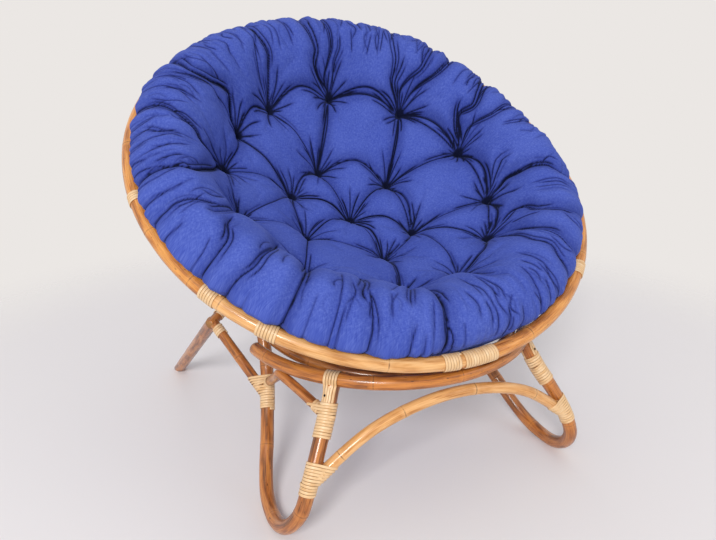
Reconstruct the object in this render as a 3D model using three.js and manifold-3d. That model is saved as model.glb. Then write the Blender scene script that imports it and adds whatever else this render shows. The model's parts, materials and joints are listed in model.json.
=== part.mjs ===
// Papasan chair: a round rattan bowl with a tufted cushion, tilted forward on a rattan stand.
// Millimetres, +Z up, the chair faces -Y. The origin is under the middle of its box, on the floor.
import * as THREE from "three";
import { mergeVertices } from "three/addons/utils/BufferGeometryUtils.js";
import Module from "manifold-3d";

const wasm = await Module();
wasm.setup();

// Driving sizes of the bowl
const rimRadius = 540;
const rimPole = 31;
const bowlDepth = 338;
const frontLap = 79.3;
const spokePole = 20;
const spokeCount = 8;
const baseHoopRadius = 62;
const spokeShifts = [2.6, 0, 0, 0, 0, 0, 4, 2.2].map((degrees) => THREE.MathUtils.degToRad(degrees));
const rimSteps = 72;
const shortPoleSteps = 12;

// Driving sizes of the stand
const ringRadius = 307;
const ringPole = 25;
const ringTilt = THREE.MathUtils.degToRad(7);
const ringHeight = 359;
const railPole = 29;
const railRise = 5.7;
const railEnd = THREE.MathUtils.degToRad(83);
const postPole = 31;
const footOut = 55;
const toeOut = 9;
const footFlat = 2;
const legPole = 31;
const backFootSpread = 403;
const backFootReach = 592;
const backRailPole = 25;
const backRailHalfSpan = 375;
const backRailReach = 185;
const backRailEndHeight = 311;
const backRailStub = 14;
const archPole = 25;
const archJointHeight = 150;
const archCrestHeight = 278;
const archCrestReach = 318;
const bracePole = 24;
const sideBraceHeight = 176;
const innerBracePole = 21;
const innerBraceFrontHeight = 263;
const innerBraceBackHeight = 200;

// Driving sizes of the cane bindings
const caneWidth = 6.6;
const caneThick = 1.8;
const canePitch = 8;
const caneSteps = 8;
const spokeTieTurns = [9, 5, 3, 3, 3, 3, 3, 5];
const rimJointTurns = 3;
const frontTieShift = THREE.MathUtils.degToRad(1.5);
const braceTieShare = 0.38;
const archTieShare = 0.66;
const postTopTurns = 9;
const archTieTurns = 8;
const braceTieTurns = 10;
const legTieTurns = 3;
const strandWidth = 5;
const strandPitch = 5.8;
const strandCount = 4;
const strandRoom = 3;
const saddleDepth = 38;

// Driving sizes of the cushion
const cushionRoom = 4.5;
const rollHeight = 95;
const tuftDepth = 62;
const tuftReach = 50;
const innerTuftRadius = 158;
const outerTuftRadius = 328;
const lobeCount = 12;
const lobeSwell = 6;
const cushionColumns = 48;

// Fits
const gap = 0.3;
const restGap = 0.6;
const seatDepth = 6;

const surface = (color, roughness) => new THREE.MeshStandardMaterial({ color, roughness, metalness: 0 });
const paleRattan = surface("#e3a564", 0.45);
const orangeRattan = surface("#c97f3c", 0.42);
const brownRattan = surface("#a4683a", 0.45);
const caneBand = surface("#e6cf9b", 0.6);
const blueCotton = surface("#3b4fae", 0.9);

// The bowl's cage is part of a sphere, and so it turns on the ring
const cageRadius = (rimRadius ** 2 + bowlDepth ** 2) / (2 * bowlDepth);
const rimDrop = cageRadius - bowlDepth;
const ringReach = cageRadius + (spokePole + ringPole) / 2 + restGap;
const ringToCentre = Math.sqrt(ringReach ** 2 - ringRadius ** 2);
const rimDown = Math.asin(rimRadius / cageRadius);
const ringDown = Math.asin(ringRadius / ringReach);

// The bowl tilts until its rim's front lies a lap beyond the ring's front
const bowlTilt = rimDown - ringDown + ringTilt - frontLap / ringReach;
const ringAxis = new THREE.Vector3(0, -Math.sin(ringTilt), Math.cos(ringTilt));
const ringCentre = new THREE.Vector3(0, 0, ringHeight);
const bowlCentre = ringCentre.clone().addScaledVector(ringAxis, ringToCentre);
const bowlAxis = new THREE.Vector3(0, -Math.sin(bowlTilt), Math.cos(bowlTilt));
const rimCentre = bowlCentre.clone().addScaledVector(bowlAxis, -rimDrop);

// A curve given by a function of its share of the way along
class Route extends THREE.Curve {
  constructor(place) {
    super();
    this.place = place;
  }
  getPoint(share, target = new THREE.Vector3()) {
    return target.copy(this.place(share));
  }
}

const solidOf = (geometry) => {
  const bare = geometry.clone();
  bare.deleteAttribute("normal");
  bare.deleteAttribute("uv");
  const merged = mergeVertices(bare);
  const vertProperties = new Float32Array(merged.attributes.position.array);
  const triVerts = new Uint32Array(merged.index.array);
  return new wasm.Manifold(new wasm.Mesh({ numProp: 3, vertProperties, triVerts }));
};

const geometryOf = (solid) => {
  const mesh = solid.getMesh();
  const geometry = new THREE.BufferGeometry();
  geometry.setAttribute("position", new THREE.BufferAttribute(new Float32Array(mesh.vertProperties), 3));
  geometry.setIndex(new THREE.BufferAttribute(new Uint32Array(mesh.triVerts), 1));
  geometry.computeVertexNormals();
  return geometry;
};

const roundSection = (radius, sides) => {
  const corners = [];
  for (let i = 0; i < sides; i += 1) {
    const turn = (i / sides) * 2 * Math.PI;
    corners.push(new THREE.Vector2(radius * Math.cos(turn), radius * Math.sin(turn)));
  }
  return new THREE.Shape(corners);
};

// A pole is a round section along its route. It keeps the route for what is tied to it.
const pole = (route, diameter, steps, sides = 8) => ({ route, radius: diameter / 2, steps, sides });
const poleGeometry = ({ route, radius, steps, sides }, extra = 0) =>
  new THREE.ExtrudeGeometry(roundSection(radius + extra, sides), {
    steps,
    bevelEnabled: false,
    extrudePath: route,
  });

const largest = (solid) => solid.decompose().sort((a, b) => b.volume() - a.volume())[0];

// A pole's end shaped to sit against its neighbours, with the gap that keeps them apart
const coped = (piece, neighbours) => {
  let solid = solidOf(poleGeometry(piece));
  for (const neighbour of neighbours) solid = solid.subtract(solidOf(poleGeometry(neighbour, gap)));
  return largest(solid);
};

// The outside of a pole with its binding on, for what meets it there
const caneSwell = 1 / Math.cos(Math.PI / caneSteps);
const bound = (piece) => {
  const reach = (piece.radius + gap + caneThick / 2) * caneSwell + caneThick / 2;
  const sides = 2 * piece.sides;
  return { ...piece, radius: reach / Math.cos(Math.PI / sides), sides };
};

const onFloor = (solid) => solid.trimByPlane([0, 0, 1], 0);

const chair = new THREE.Group();
const stand = new THREE.Group();
const bowl = new THREE.Group();
bowl.position.copy(rimCentre);
bowl.rotation.x = bowlTilt;
chair.add(stand, bowl);

const place = (group, name, geometry, material) => {
  const mesh = new THREE.Mesh(geometry, material);
  mesh.name = name;
  group.add(mesh);
};

// Places, directions and corners of a faceted pole at a distance along it
const alongPole = (piece) => {
  const knots = piece.route.getSpacedPoints(piece.steps);
  const corners = piece.route.computeFrenetFrames(piece.steps, false).normals;
  const length = piece.route.getLength();
  const between = (list, distance) => {
    const share = THREE.MathUtils.clamp(distance / length, 0, 1) * piece.steps;
    const knot = Math.min(Math.floor(share), piece.steps - 1);
    return list[knot].clone().lerp(list[knot + 1], share - knot);
  };
  const at = (distance) => between(knots, distance);
  const tangent = (distance) => piece.route.getTangentAt(THREE.MathUtils.clamp(distance / length, 0, 1));
  const corner = (distance) => between(corners, distance);
  return { length, at, tangent, corner };
};

// Where a pole tied alongside crosses the plane square to the main pole
const branchSection = (branch, centre, normal) => {
  const knots = branch.route.getSpacedPoints(branch.steps);
  const last = branch.steps;
  knots[0].add(knots[0].clone().sub(knots[1]).setLength(caneWidth / 2));
  knots[last].add(knots[last].clone().sub(knots[last - 1]).setLength(caneWidth / 2));
  for (let i = 0; i < knots.length - 1; i += 1) {
    const before = knots[i].clone().sub(centre).dot(normal);
    const after = knots[i + 1].clone().sub(centre).dot(normal);
    if (before * after <= 0 && before !== after) {
      const hit = knots[i].clone().lerp(knots[i + 1], before / (before - after));
      const run = knots[i + 1].clone().sub(knots[i]).normalize();
      const upright = Math.abs(run.dot(normal));
      const spread = (Math.sqrt(1 - upright ** 2) / upright) * (canePitch / 2);
      const away = branch.route.getPointAt(1 / 2).sub(hit);
      away.addScaledVector(normal, -away.dot(normal));
      return { offset: hit.sub(centre), radius: branch.radius / upright + spread, away };
    }
  }
  return null;
};

const bandGeometry = (points, outwards, alongs, width = caneWidth) => {
  const corners = [
    [1, 1],
    [1, -1],
    [-1, -1],
    [-1, 1],
  ];
  const positions = [];
  points.forEach((point, i) => {
    for (const [out, along] of corners) {
      const corner = point.clone();
      corner.addScaledVector(outwards[i], (out * caneThick) / 2);
      corner.addScaledVector(alongs[i], (along * width) / 2);
      positions.push(corner.x, corner.y, corner.z);
    }
  });
  const index = [];
  const quad = (a, b, c, d) => index.push(a, b, c, a, c, d);
  const count = corners.length;
  for (let i = 0; i < points.length - 1; i += 1) {
    for (let k = 0; k < count; k += 1) {
      const next = (k + 1) % count;
      quad(i * count + k, i * count + next, (i + 1) * count + next, (i + 1) * count + k);
    }
  }
  const last = (points.length - 1) * count;
  quad(3, 2, 1, 0);
  quad(last, last + 1, last + 2, last + 3);
  const geometry = new THREE.BufferGeometry();
  geometry.setAttribute("position", new THREE.Float32BufferAttribute(positions, 3));
  geometry.setIndex(index);
  const solid = solidOf(geometry);
  if (solid.volume() > 0) return geometryOf(solid);
  for (let i = 0; i < index.length; i += 3) [index[i], index[i + 1]] = [index[i + 1], index[i]];
  geometry.setIndex(index);
  return geometryOf(solidOf(geometry));
};

const leastGaps = [];
const noteGap = (name, points, apart, width = caneWidth) => {
  let least = Infinity;
  for (let i = 0; i < points.length; i += 1) {
    for (let j = i + apart; j < points.length; j += 1) {
      least = Math.min(least, points[i].distanceTo(points[j]) - width);
    }
  }
  if (Number.isFinite(least)) leastGaps.push(`${name} ${least.toFixed(2)}`);
};

// A band wound round a pole, and round any pole tied to it, from one place along it
const winding = (group, name, main, start, turns, branches = []) => {
  const line = alongPole(main);
  const sectionsAt = (step) => {
    const distance = start + (step / caneSteps) * canePitch;
    const centre = line.at(distance);
    const normal = line.tangent(distance);
    const side = line.corner(distance);
    side.addScaledVector(normal, -side.dot(normal)).normalize();
    const up = new THREE.Vector3().crossVectors(normal, side);
    const turn = ((step + 1 / 2) / caneSteps) * 2 * Math.PI;
    const outward = side.multiplyScalar(Math.cos(turn)).addScaledVector(up, Math.sin(turn));
    const sections = [{ offset: new THREE.Vector3(), radius: main.radius }];
    for (const branch of branches) {
      const section = branchSection(branch, centre, normal);
      if (section && section.away.dot(outward) > 0) sections.push(section);
    }
    const reaches = sections.map(({ offset, radius }) => offset.dot(outward) + radius);
    const widest = reaches.indexOf(Math.max(...reaches));
    return { centre, normal, outward, sections, widest };
  };
  const points = [];
  const outwards = [];
  const alongs = [];
  const add = ({ centre, normal, outward, sections }, which) => {
    const { offset, radius } = sections[which];
    const standOff = (radius + gap + caneThick / 2) * caneSwell;
    points.push(centre.clone().add(offset).addScaledVector(outward, standOff));
    outwards.push(outward);
    alongs.push(normal);
  };
  const count = turns * caneSteps;
  const halvings = 12;
  let before = sectionsAt(0);
  add(before, before.widest);
  for (let step = 1; step <= count; step += 1) {
    const next = sectionsAt(step);
    if (next.widest !== before.widest) {
      let low = step - 1;
      let high = step;
      for (let i = 0; i < halvings; i += 1) {
        const half = (low + high) / 2;
        if (sectionsAt(half).widest === before.widest) low = half;
        else high = half;
      }
      const leave = sectionsAt(low);
      const arrive = sectionsAt(high);
      add(leave, leave.widest);
      add(arrive, arrive.widest);
    }
    add(next, next.widest);
    before = next;
  }
  noteGap(name, points, caneSteps - 1);
  place(group, name, bandGeometry(points, outwards, alongs), caneBand);
};

// Seat ring, a closed hoop that slopes a little to the front
const ringSteps = 56;
const ringSides = 8;
const seatRing = new THREE.TorusGeometry(ringRadius, ringPole / 2, ringSides, ringSteps);
seatRing.rotateX(ringTilt);
seatRing.translate(ringCentre.x, ringCentre.y, ringCentre.z);
const ringPoint = (turn) =>
  new THREE.Vector3(
    ringRadius * Math.sin(turn),
    -ringRadius * Math.cos(turn) * Math.cos(ringTilt),
    ringHeight - ringRadius * Math.cos(turn) * Math.sin(ringTilt),
  );
const ringRoute = new Route((share) => ringPoint(share * 2 * Math.PI));
const ringPiece = pole(ringRoute, ringPole, ringSteps, 2 * ringSides);
place(stand, "seat_ring", geometryOf(solidOf(seatRing)), brownRattan);

// Front rail, a level arc outside the ring, with room for its strands between them
const railRadius = ringRadius + (ringPole + railPole) / 2 + strandRoom;
const railHeight = ringPoint(0).z + railRise;
const railPoint = (turn) =>
  new THREE.Vector3(railRadius * Math.sin(turn), -railRadius * Math.cos(turn), railHeight);
const railRoute = new Route((share) => railPoint((2 * share - 1) * railEnd));
const frontRail = pole(railRoute, railPole, 26);
place(stand, "front_rail", poleGeometry(frontRail), orangeRattan);

// Back rail, bowed behind the ring and up to it
const backRailSpanShares = [1, 0.8, 0.46, 0];
const backRailReachShares = [0, 0.42, 0.82, 1];
const backRailRiseShares = [0, 0.4, 0.82, 1];
const backRailDip = THREE.MathUtils.degToRad(20);
const backRailOffset = (ringPole + backRailPole) / 2 + gap;
const backRailCrown = ringPoint(Math.PI);
backRailCrown.y += backRailOffset * Math.cos(backRailDip);
backRailCrown.z -= backRailOffset * Math.sin(backRailDip);
const backRailKnots = backRailSpanShares.map(
  (share, i) =>
    new THREE.Vector3(
      share * backRailHalfSpan,
      THREE.MathUtils.lerp(backRailReach, backRailCrown.y, backRailReachShares[i]),
      THREE.MathUtils.lerp(backRailEndHeight, backRailCrown.z, backRailRiseShares[i]),
    ),
);
const backRailRun = backRailKnots[0].clone().sub(backRailKnots[1]).normalize();
const backRailTip = backRailKnots[0].clone().addScaledVector(backRailRun, backRailStub);
const mirrored = (point) => new THREE.Vector3(-point.x, point.y, point.z);
const rightHalf = [backRailTip, ...backRailKnots];
const leftHalf = rightHalf.slice(0, -1).reverse().map(mirrored);
const backRailRoute = new THREE.CatmullRomCurve3([...rightHalf, ...leftHalf]);
const backRail = pole(backRailRoute, backRailPole, 24);
place(stand, "back_rail", poleGeometry(backRail), brownRattan);

// Front leg loops: front post, round a toe on the floor, and up to the ring at the back
const footSpread = ringRadius + footOut;
const toeReach = ringRadius + toeOut;
const frontPostTurn = THREE.MathUtils.degToRad(44.5);
const backPostTurn = THREE.MathUtils.degToRad(116);
const loopSpreadShares = [0.724, 0.801, 0.878, 0.934, 0.978, 0.997, 1, 0.983, 0.942, 0.898, 0.854, 0.82, 0.786, 0.768];
const loopReachShares = [-0.842, -0.921, -0.987, -1, -0.911, -0.775, -0.633, -0.459, -0.307, -0.19, -0.06, 0.038, 0.158, 0.272];
const loopRiseShares = [0.713, 0.564, 0.393, 0.234, 0.097, 0.016, 0, 0.036, 0.135, 0.248, 0.367, 0.492, 0.64, 0.808];
const loopRoute = (side) => {
  const toe = postPole / 2 - footFlat;
  const railSeat = railPoint(frontPostTurn);
  railSeat.z -= seatDepth;
  const ringSeat = ringPoint(backPostTurn);
  ringSeat.z -= seatDepth;
  const knots = loopSpreadShares.map(
    (share, i) =>
      new THREE.Vector3(
        share * footSpread,
        loopReachShares[i] * toeReach,
        THREE.MathUtils.lerp(toe, ringHeight, loopRiseShares[i]),
      ),
  );
  const all = [railSeat, ...knots, ringSeat];
  for (const knot of all) knot.x *= side;
  return new THREE.CatmullRomCurve3(all);
};

// The distance along a post at which it stands at a height, on its front or its back limb
const distanceAt = (piece, height, fromEnd) => {
  const line = alongPole(piece);
  const samples = 2 * piece.steps * piece.sides;
  for (let i = 1; i <= samples; i += 1) {
    const distance = ((fromEnd ? samples - i : i) / samples) * line.length;
    if (line.at(distance).z <= height) return distance;
  }
  return 0;
};

const archMiddleSpreadShare = 0.55;
const archMiddleRiseShare = 0.74;
const innerBraceTurn = THREE.MathUtils.degToRad(67);
const railBelow = (railPole + innerBracePole) / 2 + gap;
const loopSteps = 30;
const loops = {};
const saddleSteps = 8;
const legTieRoom = 20;

// Strands that hook over the front rail and lie down both sides of the post under it
const saddle = (group, name, post, turn) => {
  const line = alongPole(post);
  const top = line.at(0);
  const foot = line.at(saddleDepth);
  const railLine = alongPole(frontRail);
  const middle = railLine.at(((turn + railEnd) / (2 * railEnd)) * railLine.length);
  const out = new THREE.Vector3(middle.x, middle.y, 0).normalize();
  const up = new THREE.Vector3(0, 0, 1);
  const across = new THREE.Vector3().crossVectors(out, up);
  const run = foot.clone().sub(top).normalize();
  const square = out.clone().addScaledVector(run, -out.dot(run)).normalize();
  const clear = gap + caneThick / 2;
  const swell = 1 / Math.cos(Math.PI / (2 * saddleSteps));
  const postReach = (post.radius + clear) * swell;
  const railReach = (railPole / 2 + clear) * swell;
  const over = [{ at: foot.clone().addScaledVector(square, postReach), face: square }];
  for (let i = 0; i <= saddleSteps; i += 1) {
    const bend = (i / saddleSteps) * Math.PI;
    const face = out.clone().multiplyScalar(Math.cos(bend)).addScaledVector(up, Math.sin(bend));
    over.push({ at: middle.clone().addScaledVector(face, railReach), face });
  }
  const inside = square.clone().negate();
  over.push({ at: top.clone().addScaledVector(inside, postReach), face: inside });
  over.push({ at: foot.clone().addScaledVector(inside, postReach), face: inside });
  const points = [];
  const outwards = [];
  const alongs = [];
  for (let k = 0; k < strandCount; k += 1) {
    const shift = (k - (strandCount - 1) / 2) * strandPitch;
    const onward = k % 2 === 0;
    const pass = onward ? over : [...over].reverse();
    pass.forEach(({ at, face }, i) => {
      const before = pass[Math.max(i - 1, 0)].at;
      const after = pass[Math.min(i + 1, pass.length - 1)].at;
      const heading = after.clone().sub(before).normalize();
      const width = across.clone().multiplyScalar(onward ? 1 : -1);
      if (i === 0 && k > 0) width.add(heading);
      if (i === pass.length - 1 && k < strandCount - 1) width.sub(heading);
      points.push(at.clone().addScaledVector(across, shift));
      outwards.push(face);
      alongs.push(width);
    });
  }
  noteGap(name, points, over.length, strandWidth);
  place(group, name, bandGeometry(points, outwards, alongs, strandWidth), caneBand);
};

for (const [sideName, side] of [
  ["left", -1],
  ["right", 1],
]) {
  const loop = pole(loopRoute(side), postPole, loopSteps);
  loops[sideName] = loop;
  place(stand, `front_leg_loop_${sideName}`, geometryOf(onFloor(coped(loop, [frontRail, ringPiece]))), brownRattan);

  // Back leg, straight from the end of the back rail to its cut foot
  const railTie = backRailKnots[0].clone();
  railTie.x *= side;
  const backFoot = new THREE.Vector3(side * backFootSpread, backFootReach, 0);
  const legRun = backFoot.clone().sub(railTie).normalize();
  const legTop = railTie.clone().addScaledVector(legRun, seatDepth);
  const legEnd = backFoot.clone().addScaledVector(legRun, legPole);
  const backLeg = pole(new THREE.LineCurve3(legTop, legEnd), legPole, 2);
  place(stand, `back_leg_${sideName}`, geometryOf(onFloor(coped(backLeg, [backRail]))), brownRattan);

  // Side brace, from the back rail's end down to the loop's back post
  const line = alongPole(loop);
  const sideBraceFoot = line.at(distanceAt(loop, sideBraceHeight, true));
  const sideBrace = pole(new THREE.LineCurve3(sideBraceFoot, railTie), bracePole, 2);
  place(stand, `side_brace_${sideName}`, geometryOf(coped(sideBrace, [backRail, backLeg, loop])), brownRattan);

  // Inner brace, bent over under the rail between the loop's two posts
  const innerFront = line.at(distanceAt(loop, innerBraceFrontHeight, false));
  const innerBack = line.at(distanceAt(loop, innerBraceBackHeight, true));
  const innerCrest = railPoint(innerBraceTurn);
  innerCrest.x *= side;
  innerCrest.z -= railBelow;
  const innerRoute = new THREE.CatmullRomCurve3([
    innerFront,
    innerFront.clone().lerp(innerCrest, 0.7).add(new THREE.Vector3(0, 0, innerBracePole / 8)),
    innerCrest,
    innerBack.clone().lerp(innerCrest, 0.8),
    innerBack,
  ]);
  const innerBrace = pole(innerRoute, innerBracePole, 12);
  const innerSolid = coped(innerBrace, [bound(loop), frontRail, ringPiece]);
  place(stand, `inner_brace_${sideName}`, geometryOf(innerSolid), brownRattan);

  // The cane that binds them
  saddle(stand, `cane_front_post_saddle_${sideName}`, loop, side * frontPostTurn);
  const postTopStart = saddleDepth + (strandWidth + caneWidth) / 2 + 3 * gap;
  winding(stand, `cane_front_post_${sideName}`, loop, postTopStart, postTopTurns);
  const braceTieStart = distanceAt(loop, sideBraceHeight, true) - braceTieTurns * canePitch * braceTieShare;
  winding(stand, `cane_back_post_${sideName}`, loop, braceTieStart, braceTieTurns, [sideBrace]);
  const legTieStart = alongPole(sideBrace).length - legTieRoom - legTieTurns * canePitch;
  winding(stand, `cane_side_brace_${sideName}`, sideBrace, legTieStart, legTieTurns);
}

// Front arch between the two front posts
const archEnd = alongPole(loops.right).at(distanceAt(loops.right, archJointHeight, false));
const archKnots = [
  archEnd,
  new THREE.Vector3(
    archEnd.x * archMiddleSpreadShare,
    -archCrestReach,
    THREE.MathUtils.lerp(archJointHeight, archCrestHeight, archMiddleRiseShare),
  ),
  new THREE.Vector3(0, -archCrestReach, archCrestHeight),
];
const archRoute = new THREE.CatmullRomCurve3([...archKnots, mirrored(archKnots[1]), mirrored(archEnd)]);
const arch = pole(archRoute, archPole, 22);
place(stand, "front_arch", geometryOf(coped(arch, [loops.left, loops.right])), paleRattan);
for (const [sideName, loop] of Object.entries(loops)) {
  const archTieStart = distanceAt(loop, archJointHeight, false) - archTieTurns * canePitch * archTieShare;
  winding(stand, `cane_arch_${sideName}`, loop, archTieStart, archTieTurns, [arch]);
}

// Rim of the bowl: a long pole and a short one, joined by slanted cuts that lie on one another
const rimStart = THREE.MathUtils.degToRad(-160);
const rimStep = (2 * Math.PI) / rimSteps;
const shortPoleStart = THREE.MathUtils.degToRad(-60);
const rimPlace = (turn) => new THREE.Vector3(rimRadius * Math.sin(turn), -rimRadius * Math.cos(turn), 0);
const rimArc = (from, steps) => {
  const route = new Route((share) => rimPlace(from + share * steps * rimStep));
  return pole(route, rimPole, steps);
};
const rimWhole = rimArc(rimStart, rimSteps);
const shortPole = rimArc(shortPoleStart, shortPoleSteps);
const longPoleStart = shortPoleStart + (shortPoleSteps - 1) * rimStep;
const longPole = rimArc(longPoleStart, rimSteps - shortPoleSteps + 2);
const leftJoint = shortPoleStart + rimStep / 2;
const frontJoint = longPoleStart + rimStep / 2;

// The waste beyond a slanted cut, above it or below it
const scarfWaste = (turn, above) => {
  const from = rimPlace(turn - rimStep / 2);
  const to = rimPlace(turn + rimStep / 2);
  const length = from.distanceTo(to);
  const slant = Math.atan2(rimPole, length);
  const waste = new THREE.BoxGeometry(2 * length, 2 * rimPole, 2 * rimPole);
  waste.translate(0, 0, above ? rimPole - gap / 2 : -rimPole + gap / 2);
  waste.rotateY(-slant);
  waste.rotateZ(turn);
  const middle = from.add(to).multiplyScalar(1 / 2);
  waste.translate(middle.x, middle.y, middle.z);
  return solidOf(waste);
};
const longSolid = solidOf(poleGeometry(longPole))
  .subtract(scarfWaste(leftJoint, false))
  .subtract(scarfWaste(frontJoint, true));
const shortSolid = solidOf(poleGeometry(shortPole))
  .subtract(scarfWaste(leftJoint, true))
  .subtract(scarfWaste(frontJoint, false));
place(bowl, "rim_long_pole", geometryOf(largest(longSolid)), orangeRattan);
place(bowl, "rim_short_pole", geometryOf(largest(shortSolid)), paleRattan);

// Cage of the bowl: spokes bent to a sphere, from a small hoop at the bottom to the rim
const cagePlace = (down, turn) =>
  new THREE.Vector3(
    cageRadius * Math.sin(down) * Math.sin(turn),
    -cageRadius * Math.sin(down) * Math.cos(turn),
    rimDrop - cageRadius * Math.cos(down),
  );
const hoopDown = Math.asin(baseHoopRadius / cageRadius);
const hoopSteps = 24;
const spokeSteps = 10;
const spokeSides = 6;
const hoopRoute = new Route((share) => cagePlace(hoopDown, (share + 1 / hoopSteps) * 2 * Math.PI));
const hoopSides = 8;
const baseHoop = pole(hoopRoute, spokePole, hoopSteps, 2 * hoopSides);
const hoopTorus = new THREE.TorusGeometry(baseHoopRadius, spokePole / 2, hoopSides, hoopSteps);
hoopTorus.translate(0, 0, rimDrop - cageRadius * Math.cos(hoopDown));
place(bowl, "base_hoop", geometryOf(solidOf(hoopTorus)), brownRattan);

const rimDistance = (turn) => ((turn - rimStart) / (2 * Math.PI)) * rimWhole.route.getLength();
const rimWinding = (name, turn, turns) => {
  const start = rimDistance(turn) - (turns * canePitch) / 2;
  winding(bowl, name, rimWhole, start, turns);
};
for (let k = 0; k < spokeCount; k += 1) {
  const evenTurn = (k / spokeCount) * 2 * Math.PI;
  const turn = evenTurn + spokeShifts[k];
  const route = new Route((share) => cagePlace(THREE.MathUtils.lerp(hoopDown, rimDown, share), turn));
  const spoke = pole(route, spokePole, spokeSteps, spokeSides);
  place(bowl, `spoke_${k + 1}`, geometryOf(coped(spoke, [baseHoop, bound(rimWhole)])), brownRattan);
  const wrapTurn = turn > Math.PI + THREE.MathUtils.degToRad(20) ? turn - 2 * Math.PI : turn;
  rimWinding(`cane_spoke_${k + 1}`, wrapTurn, spokeTieTurns[k]);
}
rimWinding("cane_rim_joint_left", leftJoint, rimJointTurns);
rimWinding("cane_rim_joint_front", frontJoint - frontTieShift, rimJointTurns);

// Cushion: filled out between stitched tufts, and drawn in under a full border
const cushionRadius = rimRadius - rimPole / 2 - cushionRoom;
const spokeSag = cageRadius * (1 - Math.cos((rimDown - hoopDown) / (2 * spokeSteps)));
const lapRadius = cageRadius - spokePole / 2 - spokeSag - restGap;
const underHeight = (radius) => rimDrop - Math.sqrt(lapRadius ** 2 - radius ** 2);
const innerTuftShares = [0.0917, 0.2917, 0.4194, 0.5639, 0.775, 0.9111];
const outerTuftShares = [0.0417, 0.1389, 0.2361, 0.325, 0.3889, 0.4556, 0.5306, 0.6278, 0.7333, 0.8111, 0.8889, 0.9556];
const underShares = [0.3, 0.6, 0.85, 0.97];
const borderRadiusShares = [0.99, 1, 0.968, 0.875];
const borderHeightShares = [-0.1, 0.58, 0.86, 1];
const topRadiusShares = [0.77, 0.69, 0.61, 0.53, 0.45, 0.37, 0.288, 0.2, 0.1];
const topHeightShares = [0.7, 0.24, -0.22, -0.55, -0.8, -1.02, -1.2, -1.34, -1.42];
const middleHeightShare = -1.45;
const tufts = [new THREE.Vector2(0, 0)];
for (const [radius, shares] of [
  [innerTuftRadius, innerTuftShares],
  [outerTuftRadius, outerTuftShares],
]) {
  for (const share of shares) {
    const angle = share * 2 * Math.PI;
    tufts.push(new THREE.Vector2(radius * Math.cos(angle), radius * Math.sin(angle)));
  }
}
const drawnDown = (x, y) => {
  const place = new THREE.Vector2(x, y);
  let depth = 0;
  for (const tuft of tufts) depth += tuftDepth * Math.exp(-((place.distanceTo(tuft) / tuftReach) ** 2));
  return depth;
};
const cushionRings = [];
for (const share of underShares) {
  const radius = share * cushionRadius;
  cushionRings.push({ radius, height: underHeight(radius), lobed: 0, sewn: 0 });
}
borderRadiusShares.forEach((share, i) => {
  const lobed = i === 0 ? 0 : 1;
  cushionRings.push({ radius: share * cushionRadius, height: borderHeightShares[i] * rollHeight, lobed, sewn: 0 });
});
topRadiusShares.forEach((share, i) => {
  cushionRings.push({ radius: share * cushionRadius, height: topHeightShares[i] * rollHeight, lobed: 0, sewn: 1 });
});
const cushionGeometry = () => {
  const positions = [0, 0, underHeight(0)];
  for (const { radius, height, lobed, sewn } of cushionRings) {
    for (let column = 0; column < cushionColumns; column += 1) {
      const angle = (column / cushionColumns) * 2 * Math.PI;
      const lobe = -Math.cos(lobeCount * angle - Math.PI / 2 - Math.PI / 2);
      const reach = radius + lobed * lobeSwell * lobe;
      const x = reach * Math.cos(angle);
      const y = reach * Math.sin(angle);
      positions.push(x, y, height - sewn * drawnDown(x, y));
    }
  }
  positions.push(0, 0, middleHeightShare * rollHeight - drawnDown(0, 0));
  const index = [];
  const first = 1;
  const last = first + cushionRings.length * cushionColumns;
  for (let column = 0; column < cushionColumns; column += 1) {
    const next = (column + 1) % cushionColumns;
    index.push(0, first + next, first + column);
    for (let ring = 0; ring < cushionRings.length - 1; ring += 1) {
      const low = first + ring * cushionColumns;
      const high = low + cushionColumns;
      index.push(low + column, low + next, high + next, low + column, high + next, high + column);
    }
    const top = last - cushionColumns;
    index.push(last, top + column, top + next);
  }
  const geometry = new THREE.BufferGeometry();
  geometry.setAttribute("position", new THREE.Float32BufferAttribute(positions, 3));
  geometry.setIndex(index);
  return geometryOf(solidOf(geometry));
};
place(bowl, "cushion", cushionGeometry(), blueCotton);

// The origin goes under the middle of the chair's box
chair.updateMatrixWorld(true);
const extent = new THREE.Box3().setFromObject(chair, true);
const middle = extent.getCenter(new THREE.Vector3());
chair.position.set(-middle.x, -middle.y, -extent.min.z);

console.log(`Least gaps of the bindings to themselves, mm: ${leastGaps.join(", ")}`);

export default chair;
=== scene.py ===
import json
import math

import bpy
import numpy as np
from mathutils import Euler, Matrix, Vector, noise


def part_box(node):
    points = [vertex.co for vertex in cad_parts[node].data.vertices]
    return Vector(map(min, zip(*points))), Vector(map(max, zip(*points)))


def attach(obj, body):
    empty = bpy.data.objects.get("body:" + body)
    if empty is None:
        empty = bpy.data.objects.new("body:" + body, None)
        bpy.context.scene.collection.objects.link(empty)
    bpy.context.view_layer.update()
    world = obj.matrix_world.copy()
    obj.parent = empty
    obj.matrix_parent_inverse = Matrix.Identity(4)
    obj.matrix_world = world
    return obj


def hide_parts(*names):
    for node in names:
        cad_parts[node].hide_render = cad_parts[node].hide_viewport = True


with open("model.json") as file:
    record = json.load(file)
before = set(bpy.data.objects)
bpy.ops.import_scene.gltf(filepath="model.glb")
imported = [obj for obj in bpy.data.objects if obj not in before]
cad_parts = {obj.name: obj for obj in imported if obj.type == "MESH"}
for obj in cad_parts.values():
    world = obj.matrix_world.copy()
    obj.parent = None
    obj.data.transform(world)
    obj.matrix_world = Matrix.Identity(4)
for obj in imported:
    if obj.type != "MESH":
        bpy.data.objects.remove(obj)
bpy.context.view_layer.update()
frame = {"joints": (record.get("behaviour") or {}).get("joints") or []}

# The view of the photograph: standing in front and to the left, a little above the rim.
# The lens takes in the whole chair from about a metre and a half away.
camera_place = (-0.700, -1.4592, 0.966)
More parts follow.
